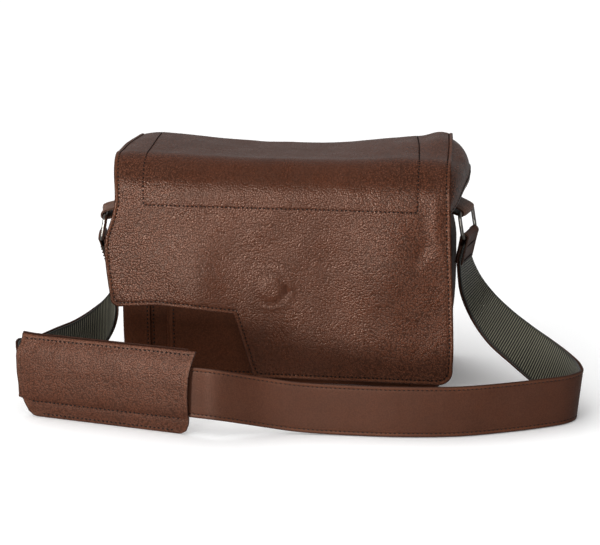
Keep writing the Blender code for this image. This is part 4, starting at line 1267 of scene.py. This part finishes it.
def plate_solid(name, outlines, low, high, rounding):
    """A flat metal plate between two depths, with rounded edges; a second outline is its hole."""
    bm = bmesh.new()
    edges = []
    for outline in outlines:
        ring = [bm.verts.new((x, low, z)) for x, z in outline]
        edges += [bm.edges.new((a, b)) for a, b in zip(ring, ring[1:] + ring[:1])]
    bmesh.ops.triangle_fill(bm, use_beauty=True, edges=edges)
    grown = bmesh.ops.extrude_face_region(bm, geom=list(bm.faces))["geom"]
    moved = [g for g in grown if isinstance(g, bmesh.types.BMVert)]
    bmesh.ops.translate(bm, verts=moved, vec=(0, high - low, 0))
    bmesh.ops.recalc_face_normals(bm, faces=bm.faces)
    mesh = bpy.data.meshes.new(name)
    bm.to_mesh(mesh)
    bm.free()
    mesh.materials.append(nickel)
    obj = bpy.data.objects.new(name, mesh)
    bpy.context.scene.collection.objects.link(obj)
    bevel = obj.modifiers.new("Rim", "BEVEL")
    bevel.width = rounding
    bevel.segments = 3
    bevel.limit_method = "ANGLE"
    bevel.angle_limit = math.radians(50)
    settle(obj)
    obj.data.shade_smooth()
    obj.data.set_sharp_from_angle(angle=math.radians(40))
    return obj


def round_outline(low, high, radius, steps=7):
    """A rounded rectangle as a plate's outline."""
    return [tuple(p) for p in rect_loop(low, high, radius, side=2, corner=steps)]


def tube(name, points, radius, closed=False, sides=14, flat=1.0):
    """A round metal bar along a line of points."""
    path = np.array(points, float)
    count = len(path)
    loops = []
    ref = np.cross(path[1] - path[0], path[count // 3] - path[0])
    ref /= max(np.linalg.norm(ref), 1e-12)
    for k in range(count):
        if closed:
            along = path[(k + 1) % count] - path[k - 1]
        else:
            along = path[min(k + 1, count - 1)] - path[max(k - 1, 0)]
        along /= np.linalg.norm(along)
        wide = np.cross(along, ref)
        wide /= np.linalg.norm(wide)
        turn = np.linspace(0, 2 * math.pi, sides + 1)[:-1]
        loops.append([path[k] + (wide * math.cos(a) + ref * math.sin(a) * flat) * radius for a in turn])
    grid = np.array(loops)
    faces = grid_faces(count, sides, around=True, across=closed)
    if not closed:
        faces.append(tuple(range(sides))[::-1])
        faces.append(tuple((count - 1) * sides + k for k in range(sides)))
    obj = mesh_object(name, grid.reshape(-1, 3), faces, nickel)
    turn_outwards(obj)
    return obj


SLIDER_HALF = ((-5.2, -2.2), (-4.4, -3.2), (0, -3.6), (4.2, -4.4), (5.0, -4.0), (5.3, -1.2))


def make_zip_slider():
    low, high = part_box("zip_slider")
    x, z = (low[0] + high[0]) / 2, (low[2] + high[2]) / 2
    whole = SLIDER_HALF + tuple((a, -b) for a, b in SLIDER_HALF[::-1])
    outline = [(x + a * MM, z + b * MM) for a, b in whole]
    plate = plate_solid("zip_slider_body", [outline], low[1] - 0.3 * MM, low[1] + 1.7 * MM, 0.5 * MM)
    put(plate, "zip_slider", "zip_slider")
    foot, crown = low[1] + 1.2 * MM, high[1] - 0.7 * MM
    spring = foot + 1.6 * MM
    turn = np.radians(np.linspace(170, 10, 12))
    arch = [(x - 3.6 * MM, foot, z), (x - 3.4 * MM, spring, z)]
    arch += [(x + 3.2 * MM * math.cos(a), spring + (crown - spring) * math.sin(a), z) for a in turn]
    arch += [(x + 3.4 * MM, spring, z), (x + 3.6 * MM, foot, z)]
    put(tube("zip_slider_bridge", arch, 0.75 * MM, flat=1.5), None, "zip_slider")
    low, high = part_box("zip_pull")
    x, top = (low[0] + high[0]) / 2, high[2]
    outline = round_outline((x - 4.4 * MM, low[2]), (x + 4.4 * MM, top), 3.6 * MM)
    hole = round_outline((x - 2.3 * MM, top - 8.6 * MM), (x + 2.3 * MM, top - 1.5 * MM), 1.6 * MM, 5)
    pull = plate_solid("zip_pull_plate", [outline, hole], low[1], high[1], 0.35 * MM)
    put(pull, "zip_pull", "zip_pull")


make_shell()
make_insert()
make_pocket()
make_rear_pocket()


# ---------------------------------------------------------------- side tabs, rings and strap ends
RING_YAW = math.radians(12)
RING_TILT = math.radians(10)
RING_WIRE = 2.0 * MM
RING_LENGTH, RING_DROP, RING_CORNER = 54 * MM, 26 * MM, 5 * MM
RING_X = {-1: 198 * MM, 1: 187 * MM}
RING_Z = {-1: 165 * MM, 1: 178 * MM}
STRAP_END_LEAN = {-1: math.radians(15.5), 1: math.radians(11)}
STRAP_END_FOOT = -28.5


def ring_frame(side):
    """A frame on the ring's upper bar: X outwards, Y along the bar, Z up; yawed as the strap pulls it."""
    turn = Matrix.Rotation(-side * RING_YAW, 4, "Z")
    mirror = Matrix.Diagonal((side, 1, 1, 1))
    return Matrix.Translation((side * RING_X[side], 0, RING_Z[side])) @ turn @ mirror


def strap_end_frame(side):
    """A frame on the ring's lower bar, upright but leaning as the strap pulls its leather end."""
    bar = ring_frame(side) @ Matrix.Rotation(-RING_TILT, 4, "Y") @ Matrix.Translation((0, 0, -RING_DROP))
    frame_at = Matrix.Translation(bar.translation) @ ring_frame(side).to_3x3().to_4x4()
    return frame_at @ Matrix.Rotation(STRAP_END_LEAN[side], 4, "Y")


def spline_through(guide, values, steps):
    """A centripetal Catmull-Rom curve through the values, spaced as the guide points are."""
    gaps = np.sqrt(np.linalg.norm(np.diff(guide, axis=0), axis=1))
    gaps = [gaps[0], *gaps, gaps[-1]]
    ends = [2 * values[0] - values[1], *values, 2 * values[-1] - values[-2]]
    line = []
    for i, (a, b, c, d) in enumerate(zip(ends, ends[1:], ends[2:], ends[3:])):
        k1 = gaps[i]
        k2 = k1 + gaps[i + 1]
        k3 = k2 + gaps[i + 2]
        for t in k1 + (k2 - k1) * np.arange(steps) / steps:
            ab = a + (b - a) * (t / k1)
            bc = b + (c - b) * ((t - k1) / (k2 - k1))
            cd = c + (d - c) * ((t - k2) / (k3 - k2))
            abc = ab + (bc - ab) * (t / k2)
            bcd = bc + (cd - bc) * ((t - k1) / (k3 - k1))
            line.append(abc + (bcd - abc) * ((t - k1) / (k2 - k1)))
    line.append(values[-1])
    return np.array(line)


def folded_strip(name, corners, width, place, thickness, finish, crown):
    """A strip of leather bent through corners in a plane and crowned; place puts its points in the bag."""
    path = spline_through(np.array(corners, float), np.array(corners, float), 5)
    columns = np.array([0, 0.5, 1.1, 2.0, 3.2, 4.4, 5.6, 8, 13]) * MM - width / 2
    columns = np.concatenate([columns, -columns[::-1]])
    grid = np.array([[place(x, y, z) for y in columns] for x, z in path])
    inside = rim_distance(grid)
    raised = 0.3 * MM * bell(inside, 1.8 * MM, 1.3 * MM) - 0.35 * MM * bell(inside, 4.2 * MM, 0.8 * MM)
    sway = rough(grid, 14 * MM, 3.3) * 0.25 * MM
    swell = crown * (1 - (columns / (width / 2)) ** 2)
    grid = grid + grid_normals(grid) * (raised + sway + swell)[..., None]
    strip = sheet(name, grid, thickness, finish, rim=inside)
    turn_outwards(strip)
    return strip


def box_line(half_width, low, high):
    """The (y, z) points of a stitched box whose sizes are in millimetres."""
    corners = [(-1, low), (1, low), (1, high), (-1, high), (-1, low)]
    return refine(np.array([(side * half_width, z) for side, z in corners]) * MM, 3 * MM)


def make_ring(side, word):
    frame_at = ring_frame(side) @ Matrix.Rotation(-RING_TILT, 4, "Y")
    r = RING_CORNER
    half, low = RING_LENGTH / 2 - r, -RING_DROP + r
    points = []
    for y, z, start in ((half, -r, 0), (-half, -r, 90), (-half, low, 180), (half, low, 270)):
        for a in np.radians(np.linspace(start, start + 90, 9)):
            points.append(frame_at @ Vector((0, y + r * math.cos(a), z + r * math.sin(a))))
    points = points + [points[0].lerp(points[-1], 0.5)]
    name = f"ring_{word}"
    put(tube(f"{name}_wire", points, RING_WIRE, closed=True, sides=18), name, name)


def make_tab(side, word):
    """Two plies of leather sewn to the gusset, folded round the ring's upper bar."""
    frame_at = ring_frame(side)
    thick = 1.9 * MM
    sewn = HALF + 0.4 * MM - RING_X[side]
    inner = sewn + thick / 2
    outer = sewn + thick * 1.5 + 0.15 * MM
    reach = RING_WIRE + 0.5 * MM + thick / 2
    corners = [(inner, 38 * MM), (inner, 24 * MM), (inner + 0.3 * MM, 11 * MM), (inner + 5 * MM, 2 * MM)]
    corners += [(reach * math.cos(a), reach * math.sin(a)) for a in np.radians((235, 270, 305, 340, 375, 410))]
    corners += [(outer + 4.8 * MM, 11.5 * MM), (outer + 0.6 * MM, 19 * MM), (outer, 27 * MM), (outer, 38 * MM)]

    def place(x, y, z):
        turned = frame_at @ Vector((x, y, z))
        flat = Vector((side * (RING_X[side] + x), y, RING_Z[side] + z))
        share = float(smooth(np.array(z), 3 * MM, 16 * MM))
        pushed = turned.lerp(flat, share)
        skin = HALF + float(side_swell(pushed.y, pushed.z)) + thick / 2 + 0.5 * MM
        return (side * max(side * pushed.x, skin + (x > inner + 0.6 * MM) * thick), pushed.y, pushed.z)

    node = f"tab_{word}"
    put(folded_strip(f"{node}_leather", corners, 44 * MM, place, thick, tab_leather, 1.6 * MM), node)
    x = side * (RING_X[side] + outer + thick / 2 + 0.05 * MM)
    line = box_line(17.8, 21, 34.5)
    places = np.column_stack([np.full(len(line), x), line[:, 0], line[:, 1] + RING_Z[side]])
    sew(f"{node}_stitches", [(places, facing([float(side), 0.0, 0.0], len(line)))], pitch=3.6 * MM)


def make_strap_end(side, word):
    """The strap's leather end: folded over the ring's lower bar with the strap sewn between its legs."""
    frame_at = strap_end_frame(side)
    thick = 1.7 * MM
    half = 1.9 * MM + thick / 2
    reach = RING_WIRE + 0.45 * MM + thick / 2
    corners = [(-half, STRAP_END_FOOT * MM), (-half, -20 * MM), (-half - 0.1 * MM, -9 * MM)]
    corners += [(reach * math.cos(a), reach * math.sin(a)) for a in np.radians(np.arange(200, -21, -27.5))]
    corners += [(half + 0.1 * MM, -9 * MM), (half, -20 * MM), (half, STRAP_END_FOOT * MM)]

    def place(x, y, z):
        return tuple(frame_at @ Vector((x, y, z)))

    node, body = f"strap_end_{word}", f"ring_{word}"
    put(folded_strip(f"{node}_leather", corners, 46 * MM, place, thick, strap_leather, 1.2 * MM), node, body)
    rows = []
    for face in (-1, 1):
        x = face * (half + thick / 2 + 0.08 * MM)
        places = np.array([place(x, a, b) for a, b in box_line(19, -9.5, -25)])
        rows.append((places, facing(tuple(frame_at.to_3x3() @ Vector((face, 0, 0))), len(places))))
    sew(f"{node}_stitches", rows, body, pitch=3.6 * MM)


# ---------------------------------------------------------------- shoulder strap
STRAP_WIDTH = 50 * MM
PAD_LENGTH, PAD_HEIGHT = 177 * MM, 84 * MM
PAD_CENTRE = Vector((-146.5 * MM, -210.5 * MM, 0))
PAD_ANGLE = math.radians(-11)
PAD_FLANGE = 17 * MM
# Where the strap runs, in millimetres: its lower and upper edge at each station, from the right ring to the pad
RIGHT_ROUTE = [
    ((182, -25, 120), (194, 24, 120)), ((186, -34, 98), (203, 10, 105)), ((199, -47, 73), (216, -9, 93)),
    ((217, -60, 54), (235, -29, 79)), ((241, -75, 36), (260, -46, 66)), ((266, -89, 18), (283, -68, 57)),
    ((287, -103, 4), (301, -94, 51)),
    ((300, -118, 0.5), (306, -117, 50.5)), ((302, -131, 0.5), (306, -132, 50.5)),
    ((293, -146, 0.5), (294, -148, 50.5)), ((267, -163, 0.5), (267, -164, 50.5)),
    ((231, -181, 0.5), (231, -182, 50.5)), ((190, -197, 0.5), (190, -198, 50.5)),
    ((137, -206, 0.5), (137, -206, 50.5)), ((88, -208, 0.5), (88, -208, 50.5)),
    ((42, -210, 2), (42, -210, 52)), ((8, -215, 7), (8, -215, 57)),
]
# and from the pad to the left ring.
LEFT_ROUTE = [
    ((-235, -186, 23), (-240.8, -185, 71)), ((-237.5, -173, 22.5), (-242.3, -172, 71)),
    ((-244, -150, 15), (-246, -150, 64)), ((-248.5, -122, 6), (-248.5, -122, 56)), ((-246, -94, 2), (-246, -94, 52)),
    ((-237, -66, 2), (-237, -67, 52)), ((-220, -47, 6), (-221, -45, 56)), ((-203, -37, 17), (-206, -25, 65)),
    ((-189, -36, 35), (-195, -10, 75)), ((-181, -35, 57), (-190, 6, 87)), ((-183, -30, 83), (-194, 17, 98)),
    ((-187, -25, 104.5), (-199, 23, 106.5)),
]


def pad_stations():
    """The straight stretch of the strap inside the pad."""
    along = Vector((math.cos(PAD_ANGLE), math.sin(PAD_ANGLE), 0))
    reach = PAD_LENGTH / 2
    low = PAD_FLANGE / MM + 1
    made = []
    for distance in (reach + 24 * MM, reach + 4 * MM, 0, -reach + 1 * MM, -reach - 4 * MM):
        foot = (PAD_CENTRE + along * distance) / MM
        made.append(((foot.x, foot.y, low), (foot.x, foot.y, low + STRAP_WIDTH / MM)))
    return made


def ring_stations(side):
    """Where the strap runs on between the legs of its leather end, up to the ring."""
    frame_at = strap_end_frame(side)
    ends = [[frame_at @ Vector((0, y * MM, z * MM)) / MM for y in (-25, 25)] for z in (-8, -25)]
    return [(tuple(near), tuple(far)) for near, far in ends]


def strap_line():
    """The strap's middle line, its direction across and its normal, evenly spaced from ring to ring."""
    stations = ring_stations(1) + RIGHT_ROUTE + pad_stations() + LEFT_ROUTE + ring_stations(-1)[::-1]
    near = np.array([a for a, _ in stations], float) * MM
    far = np.array([b for _, b in stations], float) * MM
    centres = (near + far) / 2
    middle = spline_through(centres, centres, 24)
    wide = spline_through(centres, unit(far - near), 24)
    run = run_along(middle)
    at = np.linspace(0, run[-1], int(run[-1] / (0.5 * MM)))
    middle = resample(at, run, middle)
    wide = unit(resample(at, run, wide))
    along = unit(np.gradient(middle, axis=0))
    return at, middle, wide, unit(np.cross(along, wide))


def ribbon(name, line, width, columns, depth, thickness, finish, relief, towards):
    """A band along part of the strap's line, on one side of it."""
    at, middle, wide, normal = line
    x = np.asarray(columns)[None, :, None] * width
    grid = middle[:, None, :] + wide[:, None, :] * x
    rise = relief(at[:, None], x[..., 0])
    grid = grid + normal[:, None, :] * ((depth + rise) * towards)[..., None]
    # The webbing's rib height goes to its material, which paints shade in the valleys and a highlight on the crowns.
    rim = rise if relief is rib_relief else None
    return sheet(name, grid, thickness, finish, flip=towards > 0, rim=rim, rounding=0.3), grid


def leather_relief(at, x):
    """Bevelled, creased edges with the groove of the stitches, and a faint sway."""
    inside = STRAP_WIDTH / 2 - np.abs(x)
    rise = 0.25 * MM * bell(inside, 1.8 * MM, 1.2 * MM) - 0.3 * MM * bell(inside, 3.6 * MM, 0.7 * MM)
    return rise + 0.12 * MM * np.sin(at / (37 * MM))


def rib_relief(at, x):
    """The webbing's strong cross ribs, each one a soft bar, flattened at the selvedges."""
    wave = np.cos(2 * math.pi * at / (2.6 * MM))
    fade = smooth(24 * MM - np.abs(x), 0.4 * MM, 2.4 * MM)
    return (0.26 * MM * wave - 0.1 * MM) * fade + 0.12 * MM * fade


HIDE_EVERY = 6  # the leather needs only every sixth place of the line that the webbing's ribs follow
RIB_COLUMNS = (-0.5, -0.49, -0.47, -0.43, -0.3, -0.1, 0.1, 0.3, 0.43, 0.47, 0.49, 0.5)


def make_strap():
    """The strap's leather and webbing, in two halves that meet in the pad."""
    line = strap_line()
    split = int(np.argmin(np.linalg.norm(line[1][:, :2] - np.array(PAD_CENTRE)[:2], axis=1)))
    edge = np.array([0, 0.5, 1.1, 1.9, 2.8, 3.6, 4.4, 5.6, 9, 16]) * MM / STRAP_WIDTH
    columns = np.concatenate([-0.5 + edge, [0], (0.5 - edge)[::-1]])
    for word, first, last, side in (("right", 0, split + 1, 1), ("left", split, len(line[0]), -1)):
        full = tuple(part[first:last] for part in line)
        part = tuple(values[::HIDE_EVERY] for values in full)
        if (last - 1 - first) % HIDE_EVERY:
            part = tuple(np.concatenate([few, values[-1:]]) for few, values in zip(part, full))
        name = f"strap_{word}"
        hide, grid = ribbon(
            f"{name}_leather", part, STRAP_WIDTH, columns,
            1.9 * MM, 1.6 * MM, strap_leather, leather_relief, -1.0,
        )
        rows = [(grid[:, column], -part[3]) for column in (5, len(columns) - 6)]
        seam = stitches(f"{name}_stitches", rows, radius=0.52 * MM)
        band, _ = ribbon(
            f"{name}_webbing", full, STRAP_WIDTH - 2.4 * MM, RIB_COLUMNS,
            1.75 * MM, 1.3 * MM, webbing, rib_relief, 1.0,
        )
        if side > 0:
            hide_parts("strap_leather")
            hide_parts("strap_webbing")
        top = RING_Z[side] - 53 * MM
        start, end = (side * 190 * MM, -20 * MM, top - 40 * MM), (side * 188 * MM, 0, top)
        for piece, slot in ((hide, LEATHER), (seam, LEATHER), (band, "grey_webbing")):
            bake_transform(piece)
            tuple(start)
            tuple(end)


# ---------------------------------------------------------------- shoulder pad
PAD_TURN = np.array(Matrix.Translation(PAD_CENTRE) @ Matrix.Rotation(PAD_ANGLE, 4, "Z"))
PAD_LEATHER = 1.5 * MM
# The front cover's half length at each height, by side: rounded below, flared at the top right.
PAD_ENDS = {
    -1: (
        (0, 72), (1, 76), (3.5, 80.5), (8, 84.5), (17, 88), (32, 91),
        (45, 92), (66, 92), (70, 90.5), (75, 87.5), (84, 86),
    ),
    1: ((0, 76), (1, 80), (3.5, 84), (8, 86.6), (15, 88), (40, 88.5), (60, 90), (74, 93), (84, 96)),
}


def from_pad(local):
    """Places given along, across and up the pad, in the bag's frame."""
    return local @ PAD_TURN[:3, :3].T + PAD_TURN[:3, 3]


def front_ends(z):
    """Both ends of the front cover at a height."""
    left, right = (np.array(PAD_ENDS[hand]) * MM for hand in (-1, 1))
    return -float(np.interp(z, left[:, 0], left[:, 1])), float(np.interp(z, right[:, 0], right[:, 1]))


# Each cover's profile: height, and depth off the pad's middle plane.
PAD_FRONT = (
    (0, 1.0), (0.8, 1.7), (2, 2.1), (3.6, 2.0), (5, 2.2), (10, 2.9), (14.5, 3.7), (16.6, 3.5), (17.6, 3.9), (19, 4.8),
    (21, 5.6), (25, 6.5), (31, 7.2), (40, 7.8), (52, 8.2), (62, 7.8), (70, 6.7), (75, 5.4), (78.4, 4.0), (80.2, 3.2),
    (81.2, 3.4), (82.6, 3.3), (83.6, 2.7), (84, 1.9),
)
PAD_BACK = (
    (0, 0.5), (0.8, 0.6), (5, 0.6), (12, 0.7), (16.6, 0.8), (17.6, 1.1), (19, 2.1), (22, 2.7), (42, 3.2), (62, 3.0),
    (74, 2.5), (79, 1.9), (82.5, 1.7), (84.2, 1.3), (84.9, 0.9),
)


def pad_creases(u, z):
    """Fine creases running down from the top edge, a crumpled left corner and a soft sway below."""
    flat = np.stack([u * 0.55, z * 1.1, np.zeros_like(u)], axis=-1)
    upper = smooth(z, 40 * MM, 70 * MM)
    fine = rough(flat, 6 * MM, 1.9) * 0.6 * upper + rough(flat, 3.2 * MM, 4.1) * 0.3 * upper
    broad = rough(flat, 21 * MM, 5.2) * (0.5 + 0.5 * upper)
    corner = rough(flat, 9 * MM, 8.8) * 1.3 * bell(u, -78 * MM, 16 * MM) * bell(z, 76 * MM, 14 * MM)
    return (fine + broad * 0.8 + corner) * MM


def back_ends(z):
    """Both ends of the back cover at a height, a little inside the front one's."""
    radius = 12 * MM
    draw = radius - math.sqrt(radius**2 - max(radius - z, 0) ** 2)
    return -86.5 * MM + draw, 86.5 * MM - draw


def make_pad_cover(word, face, profile):
    """One cover of the pad from its profile of (height, depth) pairs; face is -1 in front and 1 behind."""
    node = f"pad_{word}_cover"
    z, depth = refine_profile(*(np.array(profile).T * MM), 3 * MM)
    ends = np.array([0, 0.7, 1.5, 2.6, 4, 6, 9]) * MM
    inner = np.linspace(9 * MM, PAD_LENGTH - 9 * MM, 76)[1:-1]
    base = np.concatenate([ends, inner, (PAD_LENGTH - ends)[::-1]]) / PAD_LENGTH
    ends = [front_ends(h) if face < 0 else back_ends(h) for h in z[::-1]]
    u = np.array([low + (high - low) * base for low, high in ends])
    h = np.broadcast_to(z[::-1, None], u.shape)
    out = np.broadcast_to(depth[::-1, None], u.shape).copy()
    from_end = PAD_LENGTH / 2 - np.abs(u)
    close = smooth(from_end, -2 * MM, 22 * MM)
    body = smooth(h, 17 * MM, 24 * MM)
    out = out * (1 - body * (1 - close) * (u < 0) * 0.14)
    hold = np.minimum(1, np.maximum(h - 17.5 * MM, 0) / (6 * MM)) * np.minimum(1, (84.5 * MM - h) / (4 * MM))
    out = out + pad_creases(u, h) * np.clip(hold, 0, 1) * (0.9 if face < 0 else 0.35)
    lift = 0.9 * MM * bell(u, -86 * MM, 9 * MM) * smooth(h, 70 * MM, 84 * MM)
    grid = from_pad(np.stack([u, face * out, h + lift], axis=-1))
    put(sheet(f"{node}_leather", grid, PAD_LEATHER, pad_leather, flip=face < 0), node, PAD)
    return u, h, out


def refine_profile(z, depth, step):
    """The same profile with heights no further apart than step."""
    keep_z, keep_d = [z[0]], [depth[0]]
    for a, b, c, d in zip(z, z[1:], depth, depth[1:]):
        count = max(1, int((b - a) / step))
        for k in range(count):
            share = (k + 1) / count
            keep_z.append(a + (b - a) * share)
            keep_d.append(c + (d - c) * share)
    return np.array(keep_z), np.array(keep_d)


def make_pad():
    u, h, out = make_pad_cover("front", -1, PAD_FRONT)
    make_pad_cover("back", 1, PAD_BACK)
    normal = np.array([0.0, -1.0, 0.0]) @ PAD_TURN[:3, :3].T
    rows = []
    for height, margin in ((3.6 * MM, 11 * MM), (16.6 * MM, 6 * MM), (80.2 * MM, 3 * MM)):
        row = int(np.argmin(np.abs(h[:, 0] - height)))
        inside = (u[row] > u[row].min() + margin) & (u[row] < u[row].max() - margin)
        place = from_pad(np.stack([u[row][inside], -out[row][inside] - 0.1 * MM, h[row][inside]], axis=-1))
        rows.append((place, facing(normal, len(place))))
    sew("pad_stitches", rows, PAD, pitch=4.4 * MM)
    make_pad_foam()


def make_pad_foam():
    low = (-PAD_LENGTH / 2 + 5 * MM, 0.27 * PAD_HEIGHT)
    high = (PAD_LENGTH / 2 - 5 * MM, 0.81 * PAD_HEIGHT)
    layers = [(1.4, 2.6), (0.4, 2.75), (0, 3.1), (0.2, 3.7), (1.2, 4.4), (3.5, 5.1), (8, 5.6), (16, 5.8)]
    loops = []
    for inset, depth in layers:
        ring = rect_loop(low, high, 8 * MM, inset * MM, side=16)
        loops.append(from_pad(np.array([(x, -depth * MM, z) for x, z in ring])))
    foam = put(loop_solid("pad_foam_filling", loops, padding), "pad_foam", PAD)


for hand, side_word in SIDES:
    make_ring(hand, side_word)
    make_tab(hand, side_word)
    make_strap_end(hand, side_word)
make_strap()
make_pad()


# ---------------------------------------------------------------- camera, light and floor
def make_camera():
    data = bpy.data.cameras.new("camera")
    data.sensor_width = 36
    data.lens = 91.4
    data.clip_start = 0.01
    camera = bpy.data.objects.new("camera", data)
    camera.location = (0.2323, -1.5624, 0.5054)
    camera.rotation_euler = (math.radians(75.73), 0, math.radians(8))
    bpy.context.scene.collection.objects.link(camera)
    bpy.context.scene.camera = camera


def add_lamp(name, data, aim):
    lamp = bpy.data.objects.new(name, data)
    lamp.rotation_euler = aim.to_track_quat("-Z", "Y").to_euler()
    bpy.context.scene.collection.objects.link(lamp)
    return lamp


def area_light(name, place, target, size, power):
    data = bpy.data.lights.new(name, "AREA")
    data.shape = "RECTANGLE"
    data.size, data.size_y = size
    data.energy = power
    add_lamp(name, data, Vector(target) - Vector(place)).location = place


def sun_light(name, towards, power, spread):
    """A soft sun that gives no highlights."""
    data = bpy.data.lights.new(name, "SUN")
    data.energy = power
    data.angle = math.radians(spread)
    add_lamp(name, data, -Vector(towards)).visible_glossy = False


def make_world():
    """A dim studio whose far wall, behind the bag, is bright."""
    world = bpy.data.worlds.new("studio")
    world.use_nodes = True
    tree = world.node_tree
    place = tree.nodes.new("ShaderNodeTexCoord")
    split = tree.nodes.new("ShaderNodeSeparateXYZ")
    tree.links.new(place.outputs["Generated"], split.inputs[0])
    wall = tree.nodes.new("ShaderNodeMapRange")
    wall.interpolation_type = "SMOOTHSTEP"
    tree.links.new(split.outputs["Y"], wall.inputs[0])
    for index, value in ((1, 0.0), (2, 0.7), (3, 0.07), (4, 0.27)):
        wall.inputs[index].default_value = value
    background = tree.nodes["Background"]
    background.inputs["Color"].default_value = (1, 1, 1, 1)
    tree.links.new(wall.outputs[0], background.inputs["Strength"])
    bpy.context.scene.world = world


def make_stage():
    make_world()
    bpy.context.scene.view_settings.view_transform = "Standard"
    sun_light("overhead", (-0.4, -0.12, 1.0), 3.15, 85)
    sun_light("front", (-0.55, -1.0, 0.2), 0.63, 60)
    area_light("key", (-0.86, -1.85, 0.13), (-0.05, 0, 0.12), (0.3, 0.4), 23)
    area_light("side", (0.1, -1.9, 0.14), (0.1, 0, 0.14), (0.2, 0.4), 4)
    n = Nodes("pale_floor")
    n.set(colour=(0.95, 0.95, 0.95, 1), roughness=0.8)
    n.shader.inputs["Emission Color"].default_value = (1, 1, 1, 1)
    n.shader.inputs["Emission Strength"].default_value = 0.1
    reach = 40
    corners = [(-reach, -reach, 0), (reach, -reach, 0), (reach, reach, 0), (-reach, reach, 0)]
    floor = mesh_object("floor", corners, [(0, 1, 2, 3)], n.material)
    floor.location.z = -0.2 * MM
    floor.visible_glossy = False


make_camera()
make_stage()
